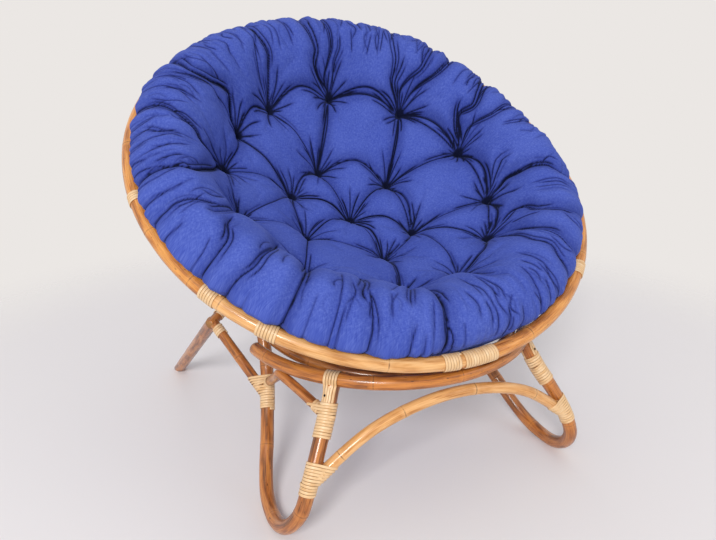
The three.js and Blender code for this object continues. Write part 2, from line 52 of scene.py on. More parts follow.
camera_pitch = math.radians(71.1)
camera_heading = math.radians(-25.24)
camera_lens = 33.64
camera_film = 36
camera_data = bpy.data.cameras.new("camera")
camera_data.lens = camera_lens
camera_data.sensor_width = camera_film
camera = bpy.data.objects.new("camera", camera_data)
camera.location = camera_place
camera.rotation_euler = (camera_pitch, 0, camera_heading)
bpy.context.scene.collection.objects.link(camera)
bpy.context.scene.camera = camera
bpy.context.scene.view_settings.view_transform = "Standard"

# The studio: a pale floor, pale air round it, and large soft lamps in front, above and behind.
# The lamps are as strong as makes a colour come out about as it is written.
floor_colour = "#e9e5e6"
air_colour = "#ebe7e4"
floor_size = 5
floor_fade = (1.15, 1.9)
studio_light = 0.62
light_colour = "#ffffff"
lamp_aim = Vector((0, 0, 0.5))
# Each lamp's name, place, width and watts
lamps = [
    ("key_lamp", (-4.2, -5.8, 4.6), 2.4, 450),
    ("fill_lamp", (5.4, -6.0, 3.7), 4.5, 50),
    ("back_lamp", (1.2, 6.3, 6.3), 4.5, 36),
]


def linear(colour):
    """An sRGB hex colour as the linear numbers that a socket takes."""
    parts = [int(colour[i : i + 2], 16) / 255 for i in (1, 3, 5)]
    return (*[c / 12.92 if c <= 0.04045 else ((c + 0.055) / 1.055) ** 2.4 for c in parts], 1)


def put(tree, kind, links=None, stops=(), **settings):
    """Adds a node with its settings and colour stops, and fills or links its inputs."""
    made = tree.nodes.new(kind)
    for name, value in settings.items():
        setattr(made, name, value)
    for socket, value in (links or {}).items():
        if isinstance(value, bpy.types.NodeSocket):
            tree.links.new(value, made.inputs[socket])
        else:
            made.inputs[socket].default_value = value
    for number, (place, colour) in enumerate(stops):
        if number == len(made.color_ramp.elements):
            made.color_ramp.elements.new(1)
        made.color_ramp.elements[number].position = place
        made.color_ramp.elements[number].color = linear(colour)
    return made


def blank(name):
    """A material or a world with an empty node tree."""
    made = bpy.data.worlds.new(name) if name == "studio_air" else bpy.data.materials.new(name)
    made.use_nodes = True
    made.node_tree.nodes.clear()
    return made, made.node_tree


air, tree = blank("studio_air")
path = put(tree, "ShaderNodeLightPath")
seen = path.outputs["Is Camera Ray"]
for kind in ("Is Glossy Ray", "Is Transmission Ray"):
    seen = put(tree, "ShaderNodeMath", {0: seen, 1: path.outputs[kind]}, operation="MAXIMUM").outputs[0]
light = put(tree, "ShaderNodeBackground", {"Color": linear(light_colour), "Strength": studio_light})
pale = put(tree, "ShaderNodeBackground", {"Color": linear(air_colour), "Strength": 1})
mixed = put(tree, "ShaderNodeMixShader", {0: seen, 1: light.outputs[0], 2: pale.outputs[0]})
put(tree, "ShaderNodeOutputWorld", {"Surface": mixed.outputs[0]})
bpy.context.scene.world = air

# Painted floor: a matt pale coat that takes the chair's soft shadow. Further out it fades
# into the air, so that no edge or horizon shows.
painted_floor, tree = blank("painted_floor")
paint = {"Base Color": linear(floor_colour), "Roughness": 0.6, "Specular IOR Level": 0.2}
floor_paint = put(tree, "ShaderNodeBsdfPrincipled", paint)
place = put(tree, "ShaderNodeTexCoord").outputs["Object"]
from_middle = put(tree, "ShaderNodeVectorMath", {0: place}, operation="LENGTH").outputs["Value"]
gone = {"Value": from_middle, 1: floor_fade[0], 2: floor_fade[1]}
gone = put(tree, "ShaderNodeMapRange", gone, interpolation_type="SMOOTHSTEP").outputs[0]
clear = put(tree, "ShaderNodeBsdfTransparent")
faded = put(tree, "ShaderNodeMixShader", {0: gone, 1: floor_paint.outputs[0], 2: clear.outputs[0]})
put(tree, "ShaderNodeOutputMaterial", {"Surface": faded.outputs[0]})
floor_mesh = bpy.data.meshes.new("floor")
half = floor_size / 2
floor_corners = [(-half, -half, 0), (half, -half, 0), (half, half, 0), (-half, half, 0)]
floor_mesh.from_pydata(floor_corners, [], [(0, 1, 2, 3)])
floor_mesh.materials.append(painted_floor)
floor = bpy.data.objects.new("floor", floor_mesh)
bpy.context.scene.collection.objects.link(floor)
for name, place, size, watts in lamps:
    lamp_data = bpy.data.lights.new(name, "AREA")
    lamp_data.shape = "DISK"
    lamp_data.size = size
    lamp_data.energy = watts
    lamp = bpy.data.objects.new(name, lamp_data)
    lamp.location = place
    lamp.rotation_euler = (lamp_aim - Vector(place)).to_track_quat("-Z", "Y").to_euler()
    bpy.context.scene.collection.objects.link(lamp)

# Seat ring: one rattan pole bent into a closed hoop, on which the bowl lies.
# Rattan is a climbing palm: a solid pole with growth rings where its leaves were, steamed,
# bent and lacquered. It is even in width, with fibres along it and dark scars at the rings.
ring_pole = 0.025
ring_low, ring_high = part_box("seat_ring")
ring_centre = (ring_low + ring_high) / 2
ring_radius = (ring_high.x - ring_low.x - ring_pole) / 2
ring_drop = (ring_high.z - ring_low.z - ring_pole) / 2
ring_tilt = math.asin(ring_drop / ring_radius)
ring_marks = [0.13, 0.39, 0.61, 0.88, 1.12, 1.37, 1.63, 1.82]
middle_y = ring_centre.y
grain_step = 0.005
pole_sides = 22
# A growth ring swells the pole over some millimetres and has a fine groove in its middle.
swell_height = 0.0007
swell_width = 0.006
groove_depth = 0.0005
groove_width = 0.0022
# No pole is quite even: its width wanders by about a hundredth, some 14 times in a metre.
wander_share = 0.011
wander_rate = 14
steep = 0.8


def at(x, y, z):
    """A place measured from the floor under the ring's middle."""
    return np.array((x, middle_y + y, z))


def along(route):
    """Distance of each point of a route from its start."""
    steps = np.linalg.norm(np.diff(route, axis=0), axis=1)
    return np.concatenate([[0], np.cumsum(steps)])


def unit(vector):
    """The same direction, one long."""
    return vector / np.linalg.norm(vector)


def headings(route, closed=False):
    """Unit directions along a route."""
    if closed:
        run = np.roll(route, -1, axis=0) - np.roll(route, 1, axis=0)
    else:
        run = np.gradient(route, axis=0)
    return run / np.linalg.norm(run, axis=1, keepdims=True)


def carried(run, first):
    """A direction square to each heading, carried along without twist."""
    sides = []
    side = np.array(first, float)
    for heading in run:
        side = unit(side - heading * side.dot(heading))
        sides.append(side)
    return np.array(sides)


def new_piece(name, points, faces, materials, attributes=None, kinds=None):
    """A smooth shaded mesh object with its materials and its named point values."""
    mesh = bpy.data.meshes.new(name)
    mesh.from_pydata([tuple(p) for p in points], [], faces)
    for material in materials:
        mesh.materials.append(material)
    if kinds is not None:
        mesh.polygons.foreach_set("material_index", kinds)
    mesh.polygons.foreach_set("use_smooth", [True] * len(mesh.polygons))
    for label, values in (attributes or {}).items():
        values = np.asarray(values, np.float32)
        kind, field = ("FLOAT_VECTOR", "vector") if values.ndim == 2 else ("FLOAT", "value")
        layer = mesh.attributes.new(label, kind, "POINT")
        layer.data.foreach_set(field, values.ravel())
    mesh.update()
    piece = bpy.data.objects.new(name, mesh)
    bpy.context.scene.collection.objects.link(piece)
    return piece


def pole(
    name, node, route, diameter, material, marks, closed=False, body="stand", shape=None
):
    """A rattan pole along its route in place of a CAD node, with growth rings at its marks."""
    run = headings(route, closed)
    side = carried(run, (0, 0, 1) if abs(run[0][2]) < steep else (0, 1, 0))
    up = np.cross(run, side)
    distance = along(route)
    seed = sum(ord(c) * (i + 1) for i, c in enumerate(name)) % 997
    radius = np.full(len(route), diameter / 2)
    nearest = np.full(len(route), 1.0)
    for mark in marks:
        apart = distance - mark
        swell = swell_height * np.exp(-((apart / swell_width) ** 2))
        radius += swell - groove_depth * np.exp(-((apart / groove_width) ** 2))
        nearest = np.where(np.abs(apart) < np.abs(nearest), apart, nearest)
    wander = np.array([noise.noise(Vector((d * wander_rate, seed, 0))) for d in distance])
    radius += wander_share * wander * diameter
    if closed:
        radius = radius + (radius[-1] - radius[0]) * -np.linspace(0, 1, len(route))
    turns = np.linspace(0, 2 * math.pi, pole_sides, endpoint=False)
    ring = np.cos(turns)[None, :, None] * side[:, None, :] + np.sin(turns)[None, :, None] * up[:, None, :]
    points = (route[:, None, :] + ring * radius[:, None, None]).reshape(-1, 3)
    grain_x = np.tile(np.cos(turns), len(route)) * diameter / 2 + seed
    grain_y = np.tile(np.sin(turns), len(route)) * diameter / 2
    grain = np.stack([grain_x, grain_y, np.repeat(distance, pole_sides)], axis=1)
    scar = np.repeat(nearest, pole_sides)
    if shape is not None:
        points = shape(points)
    faces = []
    count = len(route)
    for i in range(count if closed else count - 1):
        low = i * pole_sides
        high = (i + 1) % count * pole_sides
        for k in range(pole_sides):
            n = (k + 1) % pole_sides
            faces.append((low + k, low + n, high + n, high + k))
    kinds = [0] * len(faces)
    ends = () if closed else ((0, True), (count - 1, False))
    for end, flip in ends:
        middle = len(points)
        rim = range(end * pole_sides, (end + 1) * pole_sides)
        points = np.vstack([points, points[list(rim)].mean(axis=0)])
        grain = np.vstack([grain, [seed, 0, distance[end]]])
        scar = np.append(scar, 1)
        for k in range(pole_sides):
            a, b = rim[k], rim[(k + 1) % pole_sides]
            faces.append((b, a, middle) if flip else (a, b, middle))
            kinds.append(1)
    piece = new_piece(name, points, faces, [material, cut_rattan], {"grain": grain, "scar": scar}, kinds)
    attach(piece, body)
    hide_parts(node)


def rattan(name, pale, warm, dark, spots):
    """Lacquered rattan: a satin clear coat over fibres that run along the pole, with blotches
    where torch and sun browned it, dark flecks, and a dark line with a pale band at each growth
    ring. Real fibres are about 0.3 mm wide. They are drawn at 1 mm, so that they show."""
    fibre = (0.0010, 0.045)
    blotch = (0.010, 0.070)
    fleck = (0.0045, 0.0135)
    made, tree = blank(name)
    grain = put(tree, "ShaderNodeAttribute", attribute_name="grain").outputs["Vector"]
    scar = put(tree, "ShaderNodeAttribute", attribute_name="scar").outputs["Fac"]
    found = []
    for (across, length), detail in ((fibre, 3), (blotch, 4), (fleck, 2)):
        size = (1 / across, 1 / across, 1 / length)
        scaled = put(tree, "ShaderNodeVectorMath", {0: grain, 1: size}, operation="MULTIPLY").outputs[0]
        pattern = {"Vector": scaled, "Scale": 1, "Detail": detail}
        found.append(put(tree, "ShaderNodeTexNoise", pattern).outputs["Fac"])
    fibres, blotches, flecks = found
    stops = [(0.38, dark), (0.48, warm), (0.60, pale)]
    fibre_stops = [(0.37, dark), (0.60, pale)]
    body_colour = put(tree, "ShaderNodeValToRGB", {"Fac": blotches}, stops).outputs["Color"]
    fibre_colour = put(tree, "ShaderNodeValToRGB", {"Fac": fibres}, fibre_stops).outputs["Color"]
    grained = {0: 0.42, 6: body_colour, 7: fibre_colour}
    colour = put(tree, "ShaderNodeMix", grained, data_type="RGBA").outputs[2]
    spotted = {"Value": flecks, 1: 0.66, 2: 0.74, 3: 0, 4: spots}
    spotted = put(tree, "ShaderNodeMapRange", spotted, interpolation_type="SMOOTHSTEP").outputs[0]
    fleck_brown = linear("#4a2a15")
    colour = put(tree, "ShaderNodeMix", {0: spotted, 6: colour, 7: fleck_brown}, data_type="RGBA").outputs[2]
    away = put(tree, "ShaderNodeMath", {0: scar}, operation="ABSOLUTE").outputs[0]
    band = put(tree, "ShaderNodeMapRange", {"Value": away, 1: 0.002, 2: 0.011, 3: 0.45, 4: 0}).outputs[0]
    colour = put(tree, "ShaderNodeMix", {0: band, 6: colour, 7: linear(pale)}, data_type="RGBA").outputs[2]
    ragged = {0: flecks, 1: -0.0024, 2: 0.0012}
    ragged = put(tree, "ShaderNodeMath", ragged, operation="MULTIPLY_ADD").outputs[0]
    line = put(tree, "ShaderNodeMath", {0: away, 1: ragged}, operation="ADD").outputs[0]
    cut = put(tree, "ShaderNodeMapRange", {"Value": line, 1: 0.0004, 2: 0.0018, 3: 1, 4: 0}).outputs[0]
    worn = put(tree, "ShaderNodeMapRange", {"Value": blotches, 1: 0.35, 2: 0.62, 3: 0.85, 4: 0.2}).outputs[0]
    cut = put(tree, "ShaderNodeMath", {0: cut, 1: worn}, operation="MULTIPLY").outputs[0]
    scar_brown = linear("#5b3318")
    colour = put(tree, "ShaderNodeMix", {0: cut, 6: colour, 7: scar_brown}, data_type="RGBA").outputs[2]
    rough = put(tree, "ShaderNodeMapRange", {"Value": blotches, 1: 0.3, 2: 0.7, 3: 0.44, 4: 0.30}).outputs[0]
    height = put(tree, "ShaderNodeMath", {0: fibres, 1: blotches}, operation="ADD").outputs[0]
    bump = put(tree, "ShaderNodeBump", {"Height": height, "Strength": 0.35, "Distance": 0.00025}).outputs[0]
    lacquer = {"Coat Weight": 0.5, "Coat Roughness": 0.12, "IOR": 1.5, "Specular IOR Level": 0.35}
    wood = {"Base Color": colour, "Roughness": rough, "Normal": bump}
    shader = put(tree, "ShaderNodeBsdfPrincipled", {**wood, **lacquer})
    put(tree, "ShaderNodeOutputMaterial", {"Surface": shader.outputs[0]})
    return made


# Cut rattan: the sawn end of a pole, dry and dull, pale brown with dark pores. The pores are
# about 0.4 mm wide on the real pole. They are drawn 1.6 mm apart, so that they show.
pore = 0.0016
cut_rattan, tree = blank("cut_rattan")
pores = put(tree, "ShaderNodeTexCoord").outputs["Object"]
pores = put(tree, "ShaderNodeTexVoronoi", {"Vector": pores, "Scale": 1 / pore}).outputs["Distance"]
stops = [(0.18, "#4d3019"), (0.42, "#a8753f")]
pore_colour = put(tree, "ShaderNodeValToRGB", {"Fac": pores}, stops).outputs["Color"]
shader = put(tree, "ShaderNodeBsdfPrincipled", {"Base Color": pore_colour, "Roughness": 0.7})
put(tree, "ShaderNodeOutputMaterial", {"Surface": shader.outputs[0]})

# Brown rattan: the common poles, browned over a flame, from honey to dark brown, well flecked.
brown_rattan = rattan("brown_rattan", "#c9803f", "#a05824", "#592c10", 0.9)


def hoop(centre, radius, tilt):
    """Points round a closed hoop that leans forward by its tilt."""
    count = round(2 * math.pi * radius / grain_step)
    turn = np.linspace(0, 2 * math.pi, count, endpoint=False)
    level = -np.cos(turn) * radius
    lean = [np.sin(turn) * radius, level * math.cos(tilt), level * math.sin(tilt)]
    return np.stack(lean, axis=1) + np.array(centre)


def ring_point(turn):
    """A place on the seat ring, by the angle from its front."""
    back = -math.cos(turn) * ring_radius
    height = ring_centre.z + back * math.sin(ring_tilt)
    return at(math.sin(turn) * ring_radius, back * math.cos(ring_tilt), height)


ring_route = hoop(ring_centre, ring_radius, ring_tilt)
pole("seat_ring_pole", "seat_ring", ring_route, ring_pole, brown_rattan, ring_marks, closed=True)

# Front rail: a thicker orange pole bent round the front of the ring and nailed to it,
# a cane's thickness away. Both its ends are cut square and show their pores.
rail_pole = 0.029
rail_low, rail_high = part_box("front_rail")
rail_height = (rail_low.z + rail_high.z) / 2
rail_radius = middle_y - rail_low.y - rail_pole / 2
rail_end = math.radians(83)
rail_marks = [0.055, 0.31, 0.49, 0.72, 0.93]
arc_steps = 300


def spaced(route, step=grain_step):
    """The same route with its points a step apart."""
    distance = along(route)
    count = max(2, round(distance[-1] / step) + 1)
    even = np.linspace(0, distance[-1], count)
    return np.stack([np.interp(even, distance, route[:, i]) for i in range(3)], axis=1)


def rail_point(turn):
    """A place on the front rail, by the angle from its front."""
    return at(math.sin(turn) * rail_radius, -math.cos(turn) * rail_radius, rail_height)


# Rail rattan: a red-brown pole under the same lacquer, a little lighter than the legs.
rail_rattan = rattan("rail_rattan", "#d3863c", "#b06627", "#6a3614", 0.9)
rail_route = spaced(np.array([rail_point(t) for t in np.linspace(-rail_end, rail_end, arc_steps)]))
pole("front_rail_pole", "front_rail", rail_route, rail_pole, rail_rattan, rail_marks)

# Back rail: a bowed pole that rises to the ring behind and ends a stub past the back legs.
# It is nailed under the ring's crown and between the back legs and their braces.
back_pole = 0.025
back_half_span = 0.375
back_reach = 0.185
back_end_height = 0.311
back_stub = 0.014
back_dip = math.radians(20)
back_span_shares = [1, 0.8, 0.46, 0]
back_reach_shares = [0, 0.42, 0.82, 1]
back_rise_shares = [0, 0.4, 0.82, 1]
back_marks = [0.09, 0.27, 0.46, 0.7, 0.92]
fit_gap = 0.0003
bend_steps = 40


def bent(knots, step=grain_step):
    """A smooth bend through knots, a centripetal curve as a pole takes in its jig."""
    knots = [np.array(k, float) for k in knots]
    knots = [2 * knots[0] - knots[1], *knots, 2 * knots[-1] - knots[-2]]
    places = []
    for a, b, c, d in zip(knots, knots[1:], knots[2:], knots[3:]):
        t0, t1, t2 = (math.sqrt(np.linalg.norm(q - p)) for p, q in ((a, b), (b, c), (c, d)))
        start = ((b - a) / t0 - (c - a) / (t0 + t1) + (c - b) / t1) * t1
        end = ((c - b) / t1 - (d - b) / (t1 + t2) + (d - c) / t2) * t1
        for s in np.linspace(0, 1, bend_steps, endpoint=False):
            cubic = (2 * b - 2 * c + start + end) * s**3 + (3 * c - 3 * b - 2 * start - end) * s**2
            places.append(cubic + start * s + b)
    places.append(knots[-2])
    return spaced(np.array(places), step)


crown_gap = (ring_pole + back_pole) / 2 + fit_gap
crown = ring_point(math.pi) + np.array((0, crown_gap * math.cos(back_dip), -crown_gap * math.sin(back_dip)))
tie = at(back_half_span, back_reach, back_end_height)
back_knots = []
for span, reach, rise in zip(back_span_shares, back_reach_shares, back_rise_shares):
    inward = np.array(((1 - span) * back_half_span, 0, 0))
    back_knots.append(tie + (crown - tie) * np.array((0, reach, rise)) - inward)
back_right = [back_knots[0] + unit(back_knots[0] - back_knots[1]) * back_stub, *back_knots]
mirror = np.array((-1, 1, 1))
back_left = [knot * mirror for knot in back_right[-2::-1]]
back_route = bent(back_right + back_left)
pole("back_rail_pole", "back_rail", back_route, back_pole, brown_rattan, back_marks)

# Front leg loops: on each side one pole goes down from the front rail, round a toe on the
# floor, and up to the ring. It is bent tight, and its toe is worn flat where it stands.
post_pole = 0.031
foot_spread = ring_radius + 0.055
toe_reach = ring_radius + 0.009
seat_depth = 0.006
front_post_turn = math.radians(44.5)
back_post_turn = math.radians(116)
toe_height = post_pole / 2 - 0.002
# The loop's knots, as shares of its spread, its reach and its rise to the ring
loop_shares = [
    (0.724, -0.842, 0.713),
    (0.801, -0.921, 0.564),
    (0.878, -0.987, 0.393),
    (0.934, -1, 0.234),
    (0.978, -0.911, 0.097),
    (0.997, -0.775, 0.016),
    (1, -0.633, 0),
    (0.983, -0.459, 0.036),
    (0.942, -0.307, 0.135),
    (0.898, -0.19, 0.248),
    (0.854, -0.06, 0.367),
    (0.82, 0.038, 0.492),
    (0.786, 0.158, 0.64),
    (0.768, 0.272, 0.808),
]
loop_marks = {"left": [0.105, 0.262, 0.41, 0.585, 0.77], "right": [0.12, 0.235, 0.455, 0.61, 0.79]}
sides = {"left": -1, "right": 1}


def on_floor(points):
    """What would lie under the floor is worn level with it."""
    points = points.copy()
    points[:, 2] = np.maximum(points[:, 2], 0)
    return points


def loop_knots(side):
    """The knots of one leg loop, from the front rail to the ring."""
    knots = [rail_point(front_post_turn) - np.array((0, 0, seat_depth))]
    for spread, reach, rise in loop_shares:
        height = toe_height + rise * (ring_centre.z - toe_height)
        knots.append(at(spread * foot_spread, reach * toe_reach, height))
    knots.append(ring_point(back_post_turn) - np.array((0, 0, seat_depth)))
    return [knot * np.array((side, 1, 1)) for knot in knots]


loop_routes = {}
for side_name, side in sides.items():
    route = bent(loop_knots(side))
    loop_routes[side_name] = route
    name, node = f"front_leg_pole_{side_name}", f"front_leg_loop_{side_name}"
    pole(name, node, route, post_pole, brown_rattan, loop_marks[side_name], shape=on_floor)

# Back legs: a straight pole from each end of the back rail, splayed out and back, its foot
# cut level. Side braces run from the same joint forward and down to the leg loop.
leg_pole = 0.031
back_foot_spread = 0.403
back_foot_reach = 0.592
foot_steps = 3
brace_pole = 0.024
side_brace_height = 0.176
leg_marks = {"left": [0.1, 0.29, 0.43], "right": [0.06, 0.24, 0.39]}
brace_marks = {"left": [0.12], "right": [0.085, 0.21]}


def height_on(route, height, from_end):
    """How far along a leg loop it stands at a height, on its front or its back limb."""
    distance = along(route)
    low = int(np.argmin(route[:, 2]))
    if from_end:
        return float(np.interp(height, route[low:, 2], distance[low:]))
    return float(np.interp(-height, -route[: low + 1, 2], distance[: low + 1]))


def place_on(route, distance):
    """The place a distance along a route."""
    total = along(route)
    return np.array([np.interp(distance, total, route[:, i]) for i in range(3)])


brace_routes = {}
for side_name, side in sides.items():
    joint = tie * np.array((side, 1, 1))
    foot = at(side * back_foot_spread, back_foot_reach, 0)
    lean = unit(foot - joint)

    def cut_level(points, lean=lean):
        """The foot's last ring slides along the leg until it lies on the floor."""
        points = points.copy()
        last = slice(len(points) - pole_sides, len(points))
        points[last] += lean * (-points[last][:, 2:3] / lean[2])
        return on_floor(points)

    leg_route = spaced(np.array([joint + lean * seat_depth, foot]))
    leg_route = np.vstack([leg_route[:-foot_steps], foot])
    name, node = f"back_leg_pole_{side_name}", f"back_leg_{side_name}"
    pole(name, node, leg_route, leg_pole, brown_rattan, leg_marks[side_name], shape=cut_level)
    brace_foot = place_on(loop_routes[side_name], height_on(loop_routes[side_name], side_brace_height, True))
    brace_routes[side_name] = spaced(np.array([brace_foot, joint]))
    name, node = f"side_brace_pole_{side_name}", f"side_brace_{side_name}"
    pole(name, node, brace_routes[side_name], brace_pole, brown_rattan, brace_marks[side_name])

# Inner braces: the thinnest poles, bent over under the front rail between a loop's two
# posts. Their ends butt against the posts and are caught under the cane.
inner_pole = 0.021
inner_front_height = 0.263
inner_back_height = 0.200
inner_turn = math.radians(67)
inner_front_share = 0.7
inner_back_share = 0.8
inner_rise = inner_pole / 8
rail_below = (rail_pole + inner_pole) / 2 + fit_gap
inner_marks = {"left": [0.16, 0.33], "right": [0.11, 0.3]}
inner_routes = {}
for side_name, side in sides.items():
    route = loop_routes[side_name]
    front = place_on(route, height_on(route, inner_front_height, False))
    back = place_on(route, height_on(route, inner_back_height, True))
    crest = (rail_point(inner_turn) - np.array((0, 0, rail_below))) * np.array((side, 1, 1))
    front_bend = front + (crest - front) * inner_front_share + np.array((0, 0, inner_rise))
    back_bend = back + (crest - back) * inner_back_share
    inner_routes[side_name] = bent([front, front_bend, crest, back_bend, back])
    name, node = f"inner_brace_pole_{side_name}", f"inner_brace_{side_name}"
    pole(name, node, inner_routes[side_name], inner_pole, brown_rattan, inner_marks[side_name])

# Front arch: a pale pole bent between the two front posts, butted on them low down, nailed
# and tied.
arch_pole = 0.025
arch_joint_height = 0.150
arch_crest_height = 0.278
arch_crest_reach = 0.318
arch_middle_spread_share = 0.55
arch_middle_rise_share = 0.74
arch_marks = [0.13, 0.3, 0.47, 0.62]
arch_end = place_on(loop_routes["right"], height_on(loop_routes["right"], arch_joint_height, False))
arch_middle_height = arch_joint_height + (arch_crest_height - arch_joint_height) * arch_middle_rise_share
arch_shoulder = at(arch_end[0] * arch_middle_spread_share, -arch_crest_reach, arch_middle_height)
arch_knots = [arch_end, arch_shoulder, at(0, -arch_crest_reach, arch_crest_height)]
arch_route = bent(arch_knots + [arch_shoulder * mirror, arch_end * mirror])
# Pale rattan: poles that the flame hardly touched, honey to straw, with few flecks.
pale_rattan = rattan("pale_rattan", "#ebb77a", "#d99c5a", "#b47434", 0.12)
pole("front_arch_pole", "front_arch", arch_route, arch_pole, pale_rattan, arch_marks)

# Cane bindings on the stand: split rattan peel, about 6 mm wide and rounded on its glossy
# outside, wound wet over nailed joints so that it shrinks tight, turn against turn.
cane_pitch = 0.0059
cane_width = 0.0058
cane_thick = 0.0016
cane_steps = 44
cane_stand_off = 0.0004
tie_reach = 1.5
least_slant = 0.6
cane_wobble = 0.00035
wobble_rate = 0.9
# Each binding starts at another length of peel, so that no two look alike.
next_length = 1.7
# The strip's section, as shares of its half width and of its thickness
cane_section = np.array([(-1, 0), (-0.95, 0.62), (-0.6, 0.92), (0, 1), (0.6, 0.92), (0.95, 0.62), (1, 0)])

# Cane peel: straw-coloured, with a soft sheen and fine fibres along the strip, browner at the
# edges, partly from the peel's own darker skin edge and partly as painted shade in the gaps
# between the turns. Its fibres are about 0.2 mm wide on the real strip and are drawn at 0.7 mm,
# so that they show.
peel_fibre = (0.0007, 0.020)
peel_drift = 0.035
cane_peel, tree = blank("cane_peel")
peel = put(tree, "ShaderNodeAttribute", attribute_name="peel").outputs["Vector"]
size = (1 / peel_fibre[0], 1 / peel_fibre[0], 1 / peel_fibre[1])
scaled = put(tree, "ShaderNodeVectorMath", {0: peel, 1: size}, operation="MULTIPLY").outputs[0]
fibres = put(tree, "ShaderNodeTexNoise", {"Vector": scaled, "Scale": 1, "Detail": 3}).outputs["Fac"]
size = (0, 0, 1 / peel_drift)
scaled = put(tree, "ShaderNodeVectorMath", {0: peel, 1: size}, operation="MULTIPLY").outputs[0]
drift = put(tree, "ShaderNodeTexNoise", {"Vector": scaled, "Scale": 1, "Detail": 3}).outputs["Fac"]
stops = [(0.34, "#cf9d63"), (0.5, "#e2b988"), (0.68, "#eecfa5")]
colour = put(tree, "ShaderNodeValToRGB", {"Fac": drift}, stops).outputs["Color"]
stops = [(0.35, "#c2925a"), (0.62, "#f0d6ac")]
fine = put(tree, "ShaderNodeValToRGB", {"Fac": fibres}, stops).outputs["Color"]
colour = put(tree, "ShaderNodeMix", {0: 0.3, 6: colour, 7: fine}, data_type="RGBA").outputs[2]
# Browner edges of each turn: partly the peel's darker skin edge, partly painted shade of the gap between the
# turns
across = put(tree, "ShaderNodeSeparateXYZ", {0: peel}).outputs["Y"]
edge = put(tree, "ShaderNodeMath", {0: across}, operation="ABSOLUTE").outputs[0]
edge = put(tree, "ShaderNodeMapRange", {"Value": edge, 1: 0.0022, 2: 0.0030, 3: 0, 4: 0.5}).outputs[0]
colour = put(tree, "ShaderNodeMix", {0: edge, 6: colour, 7: linear("#8f6332")}, data_type="RGBA").outputs[2]
bump = put(tree, "ShaderNodeBump", {"Height": fibres, "Strength": 0.4, "Distance": 0.0002}).outputs[0]
skin = {"Base Color": colour, "Roughness": 0.42, "Normal": bump, "IOR": 1.5}
shader = put(tree, "ShaderNodeBsdfPrincipled", {**skin, "Coat Weight": 0.2, "Coat Roughness": 0.3})
put(tree, "ShaderNodeOutputMaterial", {"Surface": shader.outputs[0]})


def strip(points, outs, acrosses, width, start):
    """The vertices, faces and peel values of one strip of cane along its points."""
    points, outs, acrosses = (np.asarray(v, float) for v in (points, outs, acrosses))
    distance = along(points) + start
    rows = points[:, None, :]
    rows = rows + acrosses[:, None, :] * (cane_section[None, :, 0:1] * width / 2)
    rows = rows + outs[:, None, :] * (cane_section[None, :, 1:2] * cane_thick)
    count = len(cane_section)
    deep = np.tile(cane_section[:, 1] * cane_thick, len(points))
    aside = np.tile(cane_section[:, 0] * width / 2, len(points))
    peel = np.stack([deep, aside, np.repeat(distance, count)], axis=1)
    faces = []
    for i in range(len(points) - 1):
        for k in range(count):
            n = (k + 1) % count
            faces.append((i * count + k, (i + 1) * count + k, (i + 1) * count + n, i * count + n))
    last = (len(points) - 1) * count
    faces.append(tuple(range(count)))
    faces.append(tuple(last + k for k in reversed(range(count))))
    return rows.reshape(-1, 3), faces, peel


def outward(rows, faces):
    """The faces turned so that they look out of the closed strip."""
    volume = 0.0
    for face in faces:
        corner = rows[face[0]]
        for b, c in zip(face[1:], face[2:]):
            volume += np.dot(corner, np.cross(rows[b], rows[c]))
    return faces if volume > 0 else [tuple(reversed(face)) for face in faces]


def cane(name, strips, node, body):
    """One mesh of all the strips of a binding, in place of a CAD node."""
    points, faces, peels = [], [], []
    for rows, strip_faces, peel in strips:
        base = sum(len(p) for p in points)
        faces += [tuple(base + k for k in face) for face in outward(rows, strip_faces)]
        points.append(rows)
        peels.append(peel)
    piece = new_piece(name, np.vstack(points), faces, [cane_peel], {"peel": np.vstack(peels)})
    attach(piece, body)
    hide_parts(node)


def branch_at(branch, centre, run, toward):
    """Where a pole tied alongside crosses the plane square to the wound pole."""
    route, radius = branch
    lead = route[0] - (route[1] - route[0])
    tail = route[-1] + (route[-1] - route[-2])
    route = np.vstack([lead, route, tail])
    side = (route - centre) @ run
    hits = np.nonzero(side[:-1] * side[1:] <= 0)[0]
    if not len(hits):
        return None
    i = hits[0]
    share = side[i] / (side[i] - side[i + 1]) if side[i] != side[i + 1] else 0
    hit = route[i] + (route[i + 1] - route[i]) * share
    heading = unit(route[i + 1] - route[i])
    upright = abs(heading @ run)
    lean = heading - run * (heading @ run)
    size = np.linalg.norm(lean)
    lean = lean / size if size > 1e-6 else toward
    return hit - centre, lean, radius / max(upright, least_slant), radius


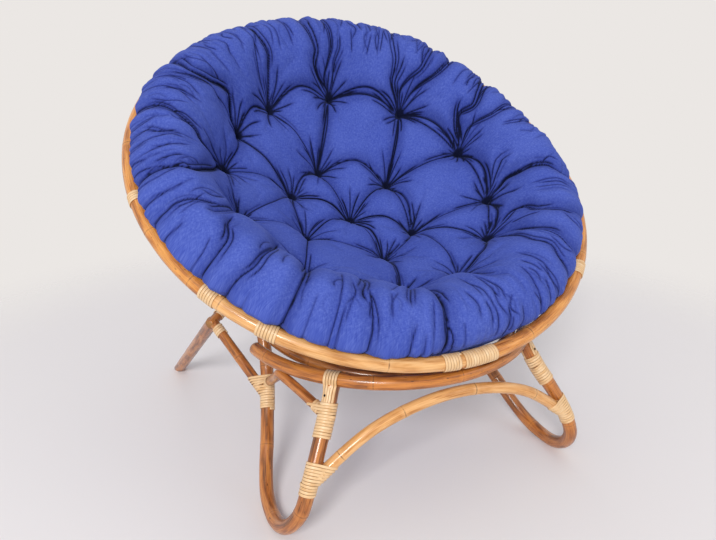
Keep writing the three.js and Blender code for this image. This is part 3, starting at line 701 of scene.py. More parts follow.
def winding(main, start, length, branches=(), seed=0, lift=0.0):
    """A strip wound round a pole, and round what is tied to it, over a length of the pole."""
    route, radius = main
    run = headings(route)
    side = carried(run, (0.31, 0.2, 0.93) if abs(run[0][2]) < steep else (0, 1, 0))
    total = along(route)
    count = max(8, round(length / cane_pitch * cane_steps))
    points, outs, acrosses = [], [], []
    for step in range(count + 1):
        turn = step / cane_steps
        wobble = noise.noise(Vector((turn * wobble_rate, seed, 3))) * cane_wobble
        distance = start + turn * cane_pitch + wobble
        centre = np.array([np.interp(distance, total, route[:, i]) for i in range(3)])
        heading = unit(np.array([np.interp(distance, total, run[:, i]) for i in range(3)]))
        first = np.array([np.interp(distance, total, side[:, i]) for i in range(3)])
        first = unit(first - heading * first.dot(heading))
        second = np.cross(heading, first)
        angle = 2 * math.pi * turn
        out = first * math.cos(angle) + second * math.sin(angle)
        best = radius
        contact = out * radius
        for branch in branches:
            section = branch_at(branch, centre, heading, first)
            if section is None:
                continue
            offset, lean, long_half, short_half = section
            if np.linalg.norm(offset) > radius + tie_reach * short_half:
                continue
            square = np.cross(heading, lean)
            reach = math.hypot(long_half * (out @ lean), short_half * (out @ square))
            if offset @ out + reach > best:
                best = offset @ out + reach
                edge = (long_half**2 * (out @ lean) * lean + short_half**2 * (out @ square) * square) / reach
                contact = offset + edge
        points.append(centre + contact + out * (cane_stand_off + lift))
        outs.append(out)
        acrosses.append(heading)
    return strip(points, outs, acrosses, cane_width, seed * next_length)


# The saddle's strands lie down both sides of the post, drawn together under the rail,
# and bend over the rail with a little air where they leave it.
saddle_depth = 0.038
saddle_near = 0.022
saddle_tail = 0.012
saddle_clear = 0.0022
saddle_strands = 5
saddle_pitch = 0.0060
saddle_width = 0.0054
saddle_draw = 0.86
saddle_steps = 16
saddle_over = 0.12
saddle_step = 0.003
saddle_next_length = 0.4


def saddle(post, turn):
    """Strands that hook over the front rail and lie down both sides of the post under it."""
    foot = place_on(post, saddle_depth + saddle_tail)
    upper = place_on(post, saddle_near)
    middle = rail_point(turn)
    out = unit(middle - at(0, 0, middle[2]))
    up = np.array((0, 0, 1.0))
    across = np.cross(out, up)
    run = unit(foot - place_on(post, 0))
    square = unit(out - run * out.dot(run))
    reach = post_pole / 2 + cane_stand_off
    strips = []
    for k in range(saddle_strands):
        shift = (k - (saddle_strands - 1) / 2) * saddle_pitch
        narrow = shift * saddle_draw
        hug = math.sqrt(max(reach**2 - narrow**2, 0)) - cane_stand_off
        face = square * hug + across * narrow
        laid = [(foot + face, face), (upper + face, face)]
        for bend in np.linspace(-saddle_over, 1 + saddle_over, saddle_steps) * math.pi:
            face = out * math.cos(bend) + up * math.sin(bend)
            clear = rail_pole / 2 + cane_stand_off + saddle_clear * abs(math.cos(bend))
            laid.append((middle + face * clear + across * shift, face))
        face = across * narrow - square * hug
        laid += [(upper + face, face), (foot + face, face)]
        lengths = along(np.array([place for place, _ in laid]))
        points = spaced(np.array([place for place, _ in laid]), saddle_step)
        even = np.linspace(0, lengths[-1], len(points))
        normals = np.array([unit(normal) for _, normal in laid])
        normals = np.stack([np.interp(even, lengths, normals[:, i]) for i in range(3)], axis=1)
        runs = headings(points)
        normals -= runs * np.sum(normals * runs, axis=1, keepdims=True)
        normals /= np.linalg.norm(normals, axis=1, keepdims=True)
        strips.append(strip(points, normals, np.cross(runs, normals), saddle_width, k * saddle_next_length))
    return strips


# How long each binding is on its pole, and where it stands
post_tie_start = saddle_depth + 0.004
post_tie_length = 0.072
post_tie_lift = 0.0012
end_tie_length = 0.018
arch_tie_length = 0.066
arch_tie_share = 0.66
brace_tie_length = 0.080
brace_tie_share = 0.38
leg_tie_length = 0.024
leg_tie_room = 0.020
stub_tie_start = 0.036
# Where the binding of a pole that butts on a post starts, in widths of that post
inner_front_start = 0.55 * post_pole
inner_back_start = 0.5 * post_pole
arch_start = 0.75 * post_pole
brace_start = 0.7 * post_pole
for number, (side_name, side) in enumerate(sides.items()):
    post = loop_routes[side_name]
    main = (post, post_pole / 2)
    strips = saddle(post, side * front_post_turn)
    cane(f"saddle_cane_{side_name}", strips, f"cane_front_post_saddle_{side_name}", "stand")
    inner_route = inner_routes[side_name]
    quarter = len(inner_route) // 4
    inner_front = (inner_route[:quarter], inner_pole / 2)
    inner_back = (inner_route[-quarter:], inner_pole / 2)
    strips = [winding(main, post_tie_start, post_tie_length, [inner_front], 11 + number, post_tie_lift)]
    strips.append(winding((inner_route, inner_pole / 2), inner_front_start, end_tie_length, seed=15 + number))
    cane(f"post_cane_{side_name}", strips, f"cane_front_post_{side_name}", "stand")
    start = height_on(post, arch_joint_height, False) - arch_tie_length * arch_tie_share
    strips = [winding(main, start, arch_tie_length, [(arch_route, arch_pole / 2)], 21 + number)]
    arch_side = arch_route if side > 0 else arch_route[::-1]
    strips.append(winding((arch_side, arch_pole / 2), arch_start, end_tie_length, seed=25 + number))
    cane(f"arch_cane_{side_name}", strips, f"cane_arch_{side_name}", "stand")
    start = height_on(post, side_brace_height, True) - brace_tie_length * brace_tie_share
    brace = (brace_routes[side_name], brace_pole / 2)
    strips = [winding(main, start, brace_tie_length, [brace, inner_back], 31 + number)]
    strips.append(winding(brace, brace_start, end_tie_length, seed=33 + number))
    inner_end = (inner_route[::-1], inner_pole / 2)
    strips.append(winding(inner_end, inner_back_start, 2 * end_tie_length, seed=35 + number))
    cane(f"brace_cane_{side_name}", strips, f"cane_back_post_{side_name}", "stand")
    start = along(brace_routes[side_name])[-1] - leg_tie_room - leg_tie_length
    strips = [winding(brace, start, leg_tie_length, seed=41 + number)]
    third = len(back_route) // 3
    stub = (back_route[:third] if side > 0 else back_route[::-1][:third], back_pole / 2)
    strips.append(winding(stub, stub_tie_start, leg_tie_length, seed=45 + number))
    cane(f"collar_cane_{side_name}", strips, f"cane_side_brace_{side_name}", "stand")

# Nails: a wire nail with a small domed head, driven in a little aside of the middle, holds
# each saddle's strands to the post.
nail_radius = 0.0027
nail_height = 0.0016
nail_down = 0.030
nail_aside = 0.35
nail_sides = 12
nail_levels = 4
# Dark steel: dull wire steel gone brown in the air. Its spots are 2 mm wide.
dark_steel, tree = blank("dark_steel")
place = put(tree, "ShaderNodeTexCoord").outputs["Object"]
spots = put(tree, "ShaderNodeTexNoise", {"Vector": place, "Scale": 1 / 0.002}).outputs["Fac"]
stops = [(0.35, "#17110d"), (0.65, "#3a2c24")]
nail_colour = put(tree, "ShaderNodeValToRGB", {"Fac": spots}, stops).outputs["Color"]
shader = put(tree, "ShaderNodeBsdfPrincipled", {"Base Color": nail_colour, "Metallic": 0.8, "Roughness": 0.5})
put(tree, "ShaderNodeOutputMaterial", {"Surface": shader.outputs[0]})
for side_name, side in sides.items():
    post = loop_routes[side_name]
    middle = rail_point(side * front_post_turn)
    out = (middle - at(0, 0, middle[2])) / rail_radius
    run = unit(place_on(post, nail_down) - place_on(post, 0))
    out = unit(out - run * out.dot(run))
    out = out * math.cos(nail_aside) - np.cross(out, run) * math.sin(nail_aside)
    across = np.cross(out, run)
    centre = place_on(post, nail_down) + out * (post_pole / 2 + cane_thick + cane_stand_off)
    points, faces = [], []
    for rise in np.linspace(0, math.pi / 2, nail_levels):
        for turn in np.linspace(0, 2 * math.pi, nail_sides, endpoint=False):
            flat = (run * math.cos(turn) + across * math.sin(turn)) * nail_radius * math.cos(rise)
            points.append(centre + flat + out * nail_height * math.sin(rise))
    for low in range(0, (nail_levels - 1) * nail_sides, nail_sides):
        for k in range(nail_sides):
            a, b = low + k, low + (k + 1) % nail_sides
            faces.append((a, b, b + nail_sides, a + nail_sides))
    faces.append(tuple(reversed(range(nail_sides))))
    nail = new_piece(f"saddle_nail_{side_name}", points, faces, [dark_steel])
    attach(nail, "stand")

# Rim of the bowl: a long orange pole and a short pale one, joined at the left and at the
# front by slanted cuts that lie on one another, nailed and then bound.
joints = {joint["name"]: joint for joint in frame["joints"]}
bowl_axis = Vector(joints["cushion_lift"]["axis"]).normalized()
bowl_centre = Vector(joints["bowl_tilt"]["pos_m"])
bowl_tilt = math.atan2(-bowl_axis.y, bowl_axis.z)
rim_pole = 0.031
rim_radius = 0.540
bowl_depth = 0.338
cage_radius = (rim_radius**2 + bowl_depth**2) / (2 * bowl_depth)
rim_drop = cage_radius - bowl_depth
rim_centre = np.array(bowl_centre - bowl_axis * rim_drop)
lean_back = np.array(Euler((bowl_tilt, 0, 0)).to_matrix())
left_joint = math.radians(-57.5)
front_joint = math.radians(-2.5)
scarf_turn = math.radians(5)
scarf_length = scarf_turn * rim_radius
scarf_near = 0.1
scarf_flat_share = 0.497
rim_steps = 400
long_marks = [0.21, 0.52, 0.79, 1.06, 1.37, 1.66, 1.95, 2.2, 2.47, 2.72, 2.86]
short_marks = [0.06, 0.395]


def from_bowl(points):
    """Places in the bowl's own frame, put where the tilted bowl is."""
    return np.asarray(points) @ lean_back.T + rim_centre


def into_bowl(points):
    """Places in the room, seen in the bowl's own frame."""
    return (np.asarray(points) - rim_centre) @ lean_back


def rim_place(turn):
    """A place on the rim in the bowl's frame, by the angle from its front."""
    return np.array((math.sin(turn), -math.cos(turn), 0)) * rim_radius


def rim_arc(start, end):
    """The rim's route between two angles."""
    turns = np.linspace(start, end, rim_steps)
    return spaced(from_bowl([rim_place(t) for t in turns]))


def scarf(points, turn, keep_above):
    """A pole's points, with its end shaped to the slanted cut of the joint at an angle."""
    along_rim = np.array((math.cos(turn), math.sin(turn), 0))
    middle = rim_place(turn)
    local = into_bowl(points)
    x = (local - middle) @ along_rim
    near = (np.abs(x) < scarf_length) & (np.linalg.norm(local - middle, axis=1) < scarf_near)
    plane = np.clip(x * rim_pole / scarf_length, -rim_pole / 2, rim_pole / 2)
    if keep_above:
        local[near, 2] = np.maximum(local[near, 2], plane[near] + fit_gap / 2)
    else:
        local[near, 2] = np.minimum(local[near, 2], plane[near] - fit_gap / 2)
    local[near, 2] = np.clip(local[near, 2], -rim_pole * scarf_flat_share, rim_pole * scarf_flat_share)
    level = np.hypot(local[near, 0], local[near, 1])
    room = np.sqrt(np.maximum((rim_pole / 2) ** 2 - local[near, 2] ** 2, 0))
    inside = rim_radius + np.clip(level - rim_radius, -room, room)
    local[near, :2] *= (inside / level)[:, None]
    return from_bowl(local)


def long_ends(points):
    """The long pole lies under the short one at the front and over it at the left."""
    return scarf(scarf(points, left_joint, True), front_joint, False)


def short_ends(points):
    """The short pole lies over the long one at the front and under it at the left."""
    return scarf(scarf(points, left_joint, False), front_joint, True)


# Orange rattan: the rim's long pole, amber to orange brown under the lacquer, with some flecks.
orange_rattan = rattan("orange_rattan", "#e6a052", "#cb7c34", "#8c4b1c", 0.5)
half_scarf = scarf_turn / 2
long_route = rim_arc(front_joint - half_scarf, left_joint + half_scarf + 2 * math.pi)
short_route = rim_arc(left_joint - half_scarf, front_joint + half_scarf)
rim_poles = [
    ("long", long_route, orange_rattan, "orange_rattan", long_marks, long_ends),
    ("short", short_route, pale_rattan, "pale_rattan", short_marks, short_ends),
]
for which, route, material, slot, marks, shape in rim_poles:
    name, node = f"rim_pole_{which}", f"rim_{which}_pole"
    pole(name, node, route, rim_pole, material, marks, body="bowl", shape=shape)

# Cage of the bowl: eight thinner poles bent to a sphere, butted on a small hoop at the
# bottom and nailed under the rim, so that the bowl can turn on the seat ring.
spoke_pole = 0.020
spoke_count = 8
spoke_steps = 60
hoop_steps = 80
hoop_radius = 0.062
hoop_marks = [0.11]
spoke_shifts = (2.6, 0, 0, 0, 0, 0, 4, 2.2)
# Each spoke's growth rings stand a little further out than those of the one before it.
spoke_marks = ((0.09, 0.017), (0.31, 0.011), (0.52, 0))
hoop_down = math.asin(hoop_radius / cage_radius)
rim_down = math.asin(rim_radius / cage_radius)


def cage_place(down, turn):
    """A place on the cage's sphere, by the angle down from its pole and round it."""
    level = cage_radius * math.sin(down)
    return (level * math.sin(turn), -level * math.cos(turn), rim_drop - cage_radius * math.cos(down))


hoop_turns = np.linspace(0, 2 * math.pi, hoop_steps, endpoint=False)
route = from_bowl([cage_place(hoop_down, t) for t in hoop_turns])
pole("base_hoop_pole", "base_hoop", route, spoke_pole, brown_rattan, hoop_marks, closed=True, body="bowl")
spoke_turns = [math.radians(k * 360 / spoke_count + spoke_shifts[k]) for k in range(spoke_count)]
for number, turn in enumerate(spoke_turns, 1):
    downs = np.linspace(hoop_down, rim_down, spoke_steps)
    route = spaced(from_bowl([cage_place(d, turn) for d in downs]))
    marks = [first + step * number for first, step in spoke_marks]
    pole(f"spoke_pole_{number}", f"spoke_{number}", route, spoke_pole, brown_rattan, marks, body="bowl")

# Cane on the rim: a binding where each spoke is nailed under it, wider at the front, and
# one over each slanted joint.
binding_reach = math.radians(8)
binding_lengths = (0.075, 0.040, 0.024, 0.024, 0.024, 0.024, 0.024, 0.040)
joint_binding_length = 0.036
left_joint_shift = math.radians(1)
front_joint_shift = math.radians(-1.7)
rim_bindings = [(f"spoke_{k + 1}", spoke_turns[k], binding_lengths[k]) for k in range(spoke_count)]
rim_bindings.append(("rim_joint_left", left_joint + left_joint_shift, joint_binding_length))
rim_bindings.append(("rim_joint_front", front_joint + front_joint_shift, joint_binding_length))
for number, (name, turn, length) in enumerate(rim_bindings):
    route = rim_arc(turn - binding_reach, turn + binding_reach)
    start = along(route)[-1] / 2 - length / 2
    strips = [winding((route, rim_pole / 2), start, length, seed=51 + number)]
    cane(f"{name}_cane", strips, f"cane_{name}", "bowl")

# Cushion: a round cotton cover filled with fibre, stitched through at a middle tuft and at
# two rings of tufts, and drawn in by a seam round its edge. Between the tufts the filling
# swells the cloth into lobes, and the slack cloth lies in creases from tuft to tuft and out
# over the edge. It lies loose in the cage and stays just inside the rim.
cushion_columns = 1200
cushion_step = 0.0024
under_step = 0.009
cushion_radius = rim_radius - rim_pole / 2 - 0.0045
roll_height = 0.095
lap_radius = cage_radius - spoke_pole / 2 - 0.0015
top_shares = [0, 0.1, 0.2, 0.288, 0.37, 0.45, 0.53, 0.61, 0.69, 0.77, 0.875, 0.968, 1.004, 0.993]
top_heights = [-1.45, -1.42, -1.34, -1.2, -1.02, -0.8, -0.55, -0.22, 0.24, 0.7, 1, 0.86, 0.58, -0.1]
under_start_share = 0.97
under_end_share = 0.01
inner_round = 0.158
outer_round = 0.328
tufts = [(0.0, 0.0)]
tufts += [(inner_round, a) for a in (33, 105, 151, 203, 279, 328)]
tufts += [(outer_round, a) for a in (15, 50, 85, 117, 140, 164, 191, 226, 264, 292, 320, 344)]

# Creases over the border, as (degrees, millimetres from the middle) along each, after its
# depth in millimetres: deep ones run from the outer tufts over the edge.
border_creases = [
    (7, (116.9, 328), (113.7, 366), (111, 400), (112, 450), (112, 500), (112, 562)),
    (4, (117.8, 340), (118.1, 375), (117, 400), (114, 448)),
    (4, (114.9, 334), (110.8, 357), (108.7, 382)),
    (2, (127, 395), (126, 450)),
    (10, (140, 332), (138.1, 354), (135.1, 374), (138, 395), (141, 412), (144, 455), (141, 505), (141, 566)),
    (5, (144, 370), (143, 400), (146, 430), (148.5, 465), (148.5, 505), (148.5, 562)),
    (6, (163.9, 340), (168.1, 387), (165.5, 400), (164, 430), (162.5, 455), (160.5, 505), (160.5, 562)),
    (4, (172, 402), (171.5, 437), (171, 470), (169, 508), (169, 562)),
    (10, (163.9, 340), (175.4, 359), (184, 425), (183.3, 462), (182.7, 492), (183, 566)),
    (8, (193.1, 344), (199.1, 382), (201, 432), (200, 470)),
    (5, (199, 420), (197.5, 448), (195.5, 470), (194.5, 500), (196, 566)),
    (7, (204, 415), (206, 440), (209.5, 470), (210.5, 500), (211, 566)),
    (4, (189.7, 355), (195.1, 382)),
    (7, (214, 340), (218, 400), (218.5, 450), (218.7, 486), (217.5, 512), (216, 566)),
    (10, (226, 328), (228.3, 383), (229.3, 440), (229.5, 480), (229.5, 520), (228, 566)),
    (4, (226, 328), (222.9, 303), (219.6, 312), (220.2, 334)),
    (2, (234, 480), (234, 566)),
    (6, (246, 318), (245, 400), (244, 440), (245.5, 475)),
    (5, (245.6, 430), (246.4, 473), (247, 503), (247, 522), (245, 566)),
    (10, (263.9, 328), (263.5, 354), (265.2, 391), (264.5, 440), (264.6, 475), (264.3, 500), (264, 566)),
    (5, (262.2, 345), (259.4, 383), (256, 440), (255.5, 475)),
    (3, (258, 370), (250, 440)),
    (3, (255.5, 530), (255.5, 566)),
    (3, (261, 530), (261, 566)),
    (6, (289, 354), (285.8, 382), (285.5, 400), (288, 440)),
    (4, (281, 490), (280, 566)),
    (4, (285, 505), (285.5, 566)),
    (3, (293, 430), (292, 480), (291, 566)),
    (9, (319.9, 340), (318.6, 362), (315.7, 397), (315.3, 430), (314.5, 458), (313.5, 490), (313, 566)),
    (5, (317.8, 344), (312.4, 373), (308.7, 408), (308, 450), (306, 485), (306, 562)),
    (9, (323.9, 334), (329.1, 355), (328.9, 376), (326.3, 400), (326, 460), (327.5, 505), (328, 566)),
    (3, (322.5, 365), (323, 415)),
    (5, (347.7, 334), (354, 354), (355.8, 363), (354.6, 388)),
    (10, (345.7, 336), (348.5, 360), (347.5, 383), (347, 412), (345.5, 440), (343, 465), (342, 566)),
    (7, (16.8, 336), (23.4, 345), (28.1, 372), (28.3, 394)),
    (9, (17.7, 342), (25.5, 360), (23.2, 390), (25.5, 430), (27, 470), (27, 566)),
    (6, (15.8, 336), (18.9, 360), (15.5, 402), (15, 450), (14, 500), (14, 562)),
    (5, (51.9, 336), (57.8, 358), (58.7, 381), (59.2, 396), (61.5, 430), (63, 480), (63, 562)),
    (5, (52.8, 342), (56.8, 362), (56.3, 388), (56.5, 420)),
    (6, (50.9, 336), (53.4, 356), (51.8, 375), (48.6, 398), (48, 430), (48, 485), (48, 562)),
    (8, (49.9, 340), (48.6, 362), (43.1, 400), (41.5, 440), (41, 566)),
    (8, (86, 336), (91, 357), (92.3, 373), (91.4, 391), (92.3, 420), (93.5, 460), (94, 566)),
    (5, (84.9, 340), (90.5, 357), (91.3, 369), (90, 390)),
    (6, (85, 335), (87.6, 355), (86.5, 375), (85.1, 400), (85.5, 435), (86.5, 470), (87, 566)),
    (4, (83.9, 340), (83.5, 375), (81.6, 400), (82, 440)),
    (3, (77, 392), (77.5, 450)),
    (3, (71, 390), (70, 445)),
    (3, (66, 400), (66, 470)),
    (3, (101, 400), (101, 500), (101, 562)),
    (3, (120, 430), (121, 566)),
    (3, (132, 450), (133, 566)),
    (3, (155, 420), (154, 566)),
    (3, (32, 430), (33, 566)),
    (3, (7, 420), (5, 566)),
    (3, (335, 400), (335, 500), (335, 562)),
    (3, (300, 400), (299, 500), (299, 562)),
    (3, (276, 380), (275, 470)),
    (3, (238, 380), (239, 480), (239, 562)),
]

# Creases between tufts, as two tufts' numbers, how far the crease bows outward and its depth
tuft_creases = [
    (9, 8, 6, 9), (9, 8, 15, 5), (8, 7, 6, 9), (8, 7, -4, 5), (7, 18, 8, 9), (7, 18, -3, 5),
    (18, 17, 7, 9), (18, 17, -3, 4), (10, 9, 12, 7), (11, 10, 9, 7), (11, 12, -10, 7), (13, 12, 6, 5),
    (17, 16, 6, 6), (14, 13, 5, 4), (15, 14, 5, 5), (16, 15, 6, 6),
    (2, 9, 4, 8), (2, 9, -6, 5), (2, 3, 8, 7), (2, 1, 22, 7), (2, 0, 5, 7), (2, 10, 3, 4),
    (1, 8, 5, 8), (1, 8, -5, 5), (1, 7, -8, 7), (1, 6, 8, 8), (1, 6, -2, 5), (1, 0, 4, 7),
    (6, 18, 10, 7), (6, 17, 5, 5), (6, 0, 8, 6), (6, 5, 10, 5), (5, 0, 7, 7), (5, 0, -3, 4),
    (0, 3, 6, 7), (0, 4, 6, 6), (3, 11, 10, 7), (3, 12, 6, 5), (4, 3, 10, 6), (4, 5, 9, 6),
    (4, 14, 4, 5), (5, 15, 5, 5), (5, 15, -7, 4), (4, 13, 8, 4), (6, 16, 8, 4), (3, 13, -10, 4),
]

# Each kind of fold, as the width of its sharp edge and of the soft hollow round it
border_fold = (0.0034, 0.021)
tuft_fold = (0.0034, 0.017)
side_fold = (0.0026, 0.008)
fine_fold = (0.0026, 0.009)
soft_fold = (0.0050, 0.010)
under_fold = (0.0040, 0.016)
under_gather_fold = (0.0036, 0.010)
under_edge_fold = (0.0040, 0.012)
# Gathers round each stitch: how many, how far they stray and bow in degrees, with their
# lengths and depths from least to most
stitch_gathers = [
    (15, 10, 9, (0.030, 0.085), (0.0020, 0.0050), fine_fold),
    (9, 18, 12, (0.070, 0.130), (0.0008, 0.0013), soft_fold),
]
under_gathers = 11
small_folds = 340
crease_step = 0.006
bow_share = 1.4
side_bend = 2.2
least_depth = 3
least_points = 12
near_middle = 0.09


def flat_place(degrees, reach):
    """A place on the cushion laid out flat, by its direction and its way from the middle."""
    return np.array((math.cos(math.radians(degrees)), math.sin(math.radians(degrees)))) * reach


def softened(knots):
    """A crease's course: a smooth line through its flat places."""
    knots = np.array([(*k, 0) for k in knots])
    course = bent(knots, crease_step) if len(knots) > 2 else spaced(knots, crease_step)
    return course[:, :2]


def beside(course, apart, start, end):
    """Part of a crease's course, moved aside the more the further it runs."""
    run = np.gradient(course, axis=0)
    run /= np.linalg.norm(run, axis=1, keepdims=True)
    shares = np.linspace(0, 1, len(course))
    moved = course + np.stack([-run[:, 1], run[:, 0]], axis=1) * (apart * np.sin(shares * side_bend))[:, None]
    return moved[(shares >= start) & (shares <= end)]


# Along each long crease run one or two lesser ones, and small folds fill the border.
seeded = np.random.default_rng(7)
courses = []
for depth, *knots in border_creases:
    course = softened([flat_place(a, r / 1000) for a, r in knots])
    courses.append((course, depth / 1000, *border_fold))
    for hand in (-1, 1):
        if depth > least_depth and len(course) > least_points:
            apart = hand * seeded.uniform(0.006, 0.013)
            start, end = seeded.uniform(0, 0.25), seeded.uniform(0.5, 1)
            near = beside(course, apart, start, end)
            courses.append((near, seeded.uniform(0.35, 0.6) * depth / 1000, *side_fold))
for number in range(small_folds):
    degrees, reach = seeded.uniform(0, 360 if number % 2 else 200), seeded.uniform(0.39, 0.52)
    end = reach + seeded.uniform(0.04, 0.10)
    knots = [flat_place(degrees, reach), flat_place(degrees + seeded.uniform(-2, 2), (reach + end) / 2)]
    knots.append(flat_place(degrees + seeded.uniform(-1.5, 1.5), end))
    courses.append((softened(knots), seeded.uniform(0.0012, 0.0032), *fine_fold))
stitches = [flat_place(degrees, reach) for reach, degrees in tufts]
for first, last, bow, depth in tuft_creases:
    a, b = stitches[first], stitches[last]
    middle = (a + b) / 2
    away = middle if np.linalg.norm(middle) > near_middle else np.array((b[1] - a[1], a[0] - b[0]))
    course = softened([a, middle + unit(away) * bow / 1000 * bow_share, b])
    courses.append((course, depth / 1000, *tuft_fold))
    for start, end in ((0, seeded.uniform(0.3, 0.5)), (seeded.uniform(0.45, 0.7), 1)):
        near = beside(course, seeded.choice((-1, 1)) * seeded.uniform(0.005, 0.009), start, end)
        courses.append((near, 0.5 * depth / 1000, *side_fold))
for centre in stitches:
    for count, stray, bow, lengths, depths, widths in stitch_gathers:
        for turn in np.arange(count) * 360 / count + seeded.uniform(-stray, stray, count):
            length = seeded.uniform(*lengths)
            middle = centre + flat_place(turn + seeded.uniform(-bow, bow), length / 2)
            course = softened([centre, middle, centre + flat_place(turn, length)])
            courses.append((course, seeded.uniform(*depths), *widths))

# Underneath, the same stitches pull the cloth in a little nearer the middle, it swells
# between the spokes that it lies on, and the gathers of the edge run in a hand's width.
under_rounds = {0.0: 0.0, inner_round: 0.155, outer_round: 0.315}
under_stitches = [flat_place(degrees, under_rounds[reach]) for reach, degrees in tufts]
under_courses = []
for centre in under_stitches:
    for turn in np.arange(under_gathers) * 360 / under_gathers + seeded.uniform(-14, 14, under_gathers):
        end = centre + flat_place(turn, seeded.uniform(0.03, 0.09))
        under_courses.append((softened([centre, end]), seeded.uniform(0.0015, 0.0040), *under_gather_fold))
for first, last, bow, depth in tuft_creases:
    course = softened([under_stitches[first], under_stitches[last]])
    under_courses.append((course, 0.5 * depth / 1000, *under_fold))
for turn in np.arange(0, 360, 3.4):
    start, end = seeded.uniform(0.49, 0.505), seeded.uniform(0.36, 0.46)
    swing = seeded.uniform(-2, 2, 2)
    knots = [flat_place(turn + swing[0], start), flat_place(turn + swing[1], end)]
    under_courses.append((softened(knots), seeded.uniform(0.0015, 0.0045), *under_edge_fold))

# A fold is felt no further than this, runs out softly at both ends and is steeper on one
# side. Light hardly reaches into a deep one, so its bottom gets a dark line of painted shade.
fold_reach = 0.07
fold_fade = 0.03
fold_start = 0.012
fold_lean = 0.45
sharp_share = 1.2
crease_shade_full = 0.007
crease_shade_from = 0.0013
crease_shade_over = 0.0010
crease_shade_width = 0.0018
crease_shade_share = 1.02
crease_shade_most = 1.2
crease_shade_curve = 0.4


def eased(share):
    """A share from 0 to 1 that starts and ends softly."""
    return share * share * (3 - 2 * share)


def pressed(u_all, v_all, creases):
    """How deep and how sharply creases lie in the cloth, and their painted shade, at its flat places."""
    broad, narrow, crease_shade = np.zeros((3, len(u_all)))
    for number, (course, depth, tight, wide) in enumerate(creases):
        length = along(course)[-1]
        low, high = course.min(axis=0) - fold_reach, course.max(axis=0) + fold_reach
        near = np.nonzero((u_all > low[0]) & (u_all < high[0]) & (v_all > low[1]) & (v_all < high[1]))[0]
        u, v = u_all[near], v_all[near]
        best = np.full(len(near), 9.0)
        place = np.zeros(len(near))
        hand = np.ones(len(near))
        walked = 0.0
        for (ax, ay), (bx, by) in zip(course[:-1], course[1:]):
            span = math.hypot(bx - ax, by - ay)
            share = np.clip(((u - ax) * (bx - ax) + (v - ay) * (by - ay)) / span**2, 0, 1)
            apart = np.hypot(u - ax - share * (bx - ax), v - ay - share * (by - ay))
            closer = apart < best
            best = np.where(closer, apart, best)
            place = np.where(closer, walked + share * span, place)
            hand = np.where(closer, np.sign((bx - ax) * (v - ay) - (by - ay) * (u - ax)), hand)
            walked += span
        left = np.minimum(place + fold_start, length - place)
        taper = eased(np.clip(left / min(fold_fade, length / 3), 0, 1))
        lean = 1 + fold_lean * hand * (1 if number % 2 else -1)
        narrow[near] += (sharp_share * depth * taper * np.exp(-best * lean / tight)) ** 2
        broad[near] += (depth * taper * np.exp(-((best / wide) ** 2))) ** 3
        # Painted shade along the bottom of the crease, darker the deeper the crease is
        strength = min(crease_shade_most, crease_shade_share * (depth / crease_shade_full) ** crease_shade_curve)
        strength *= min(1, max(0, (depth - crease_shade_from) / crease_shade_over))
        crease_shade[near] = np.maximum(crease_shade[near], strength * taper * np.exp(-((best / crease_shade_width) ** 2)))
    return np.cbrt(broad), np.sqrt(narrow), crease_shade


# The cloth is laid out in rows round the middle: over the crown, round the edge and under.
knots = [(share * cushion_radius, 0, height * roll_height) for share, height in zip(top_shares, top_heights)]
upper = bent(knots, cushion_step)
widest = int(np.argmax(upper[:, 0]))
flat_reach = upper[:, 0].copy()
flat_reach[widest:] = flat_reach[widest] + along(upper[widest:])
under_reach = cushion_radius * (under_start_share - under_end_share)
levels = np.linspace(under_start_share, under_end_share, round(under_reach / under_step)) * cushion_radius
under = np.stack([levels, 0 * levels, rim_drop - np.sqrt(lap_radius**2 - levels**2)], axis=1)
profile = np.vstack([upper, under])
flat_reach = np.concatenate([flat_reach, flat_reach[-1] + along(np.vstack([upper[-1:], under]))[1:]])
sloping = headings(profile)
facing = np.stack([-sloping[:, 2], sloping[:, 0]], axis=1)
facing[0] = (0, 1)
columns = np.linspace(0, 2 * math.pi, cushion_columns, endpoint=False)
reach_grid, turn_grid = np.meshgrid(flat_reach, columns, indexing="ij")
reach_flat = reach_grid.ravel()
turn_flat = turn_grid.ravel()
level_flat = np.repeat(profile[:, 0], cushion_columns)
top_count = len(upper) * cushion_columns
is_top = np.arange(len(reach_flat)) < top_count
cloth_reach = np.where(is_top, reach_flat, level_flat)
flat_u = cloth_reach * np.cos(turn_flat)
flat_v = cloth_reach * np.sin(turn_flat)
top_creases = pressed(flat_u[:top_count], flat_v[:top_count], courses)
under_creases = pressed(flat_u[top_count:], flat_v[top_count:], under_courses)
broad, narrow, crease_shade = (np.concatenate(pair) for pair in zip(top_creases, under_creases))

# Each stitch draws the cloth into a wide dish with a narrow pit in it, by depth and width.
top_dish, top_pit = (0.030, 0.058), (0.032, 0.017)
under_dish, under_pit = (0.014, 0.050), (0.014, 0.013)
# Painted shade in the pit of each stitch: its strength and width
pit_shade = 1.4
pit_shade_width = 0.011


def pulled(stitches, dish, pit):
    """How far stitches draw the cloth in, and how near the next stitch is."""
    pull = np.zeros(len(flat_u))
    nearest = np.full(len(flat_u), 9.0)
    for centre in stitches:
        apart = np.hypot(flat_u - centre[0], flat_v - centre[1])
        pull += dish[0] * np.exp(-((apart / dish[1]) ** 2)) + pit[0] * np.exp(-apart / pit[1])
        nearest = np.minimum(nearest, apart)
    return pull, nearest


tuft_pull, nearest = pulled(stitches, top_dish, top_pit)
tuft_pull *= is_top
# The stitch pits get painted shade as well
crease_shade = np.maximum(crease_shade, pit_shade * np.exp(-((nearest / pit_shade_width) ** 2)) * is_top)
under_pull = pulled(under_stitches, under_dish, under_pit)[0]

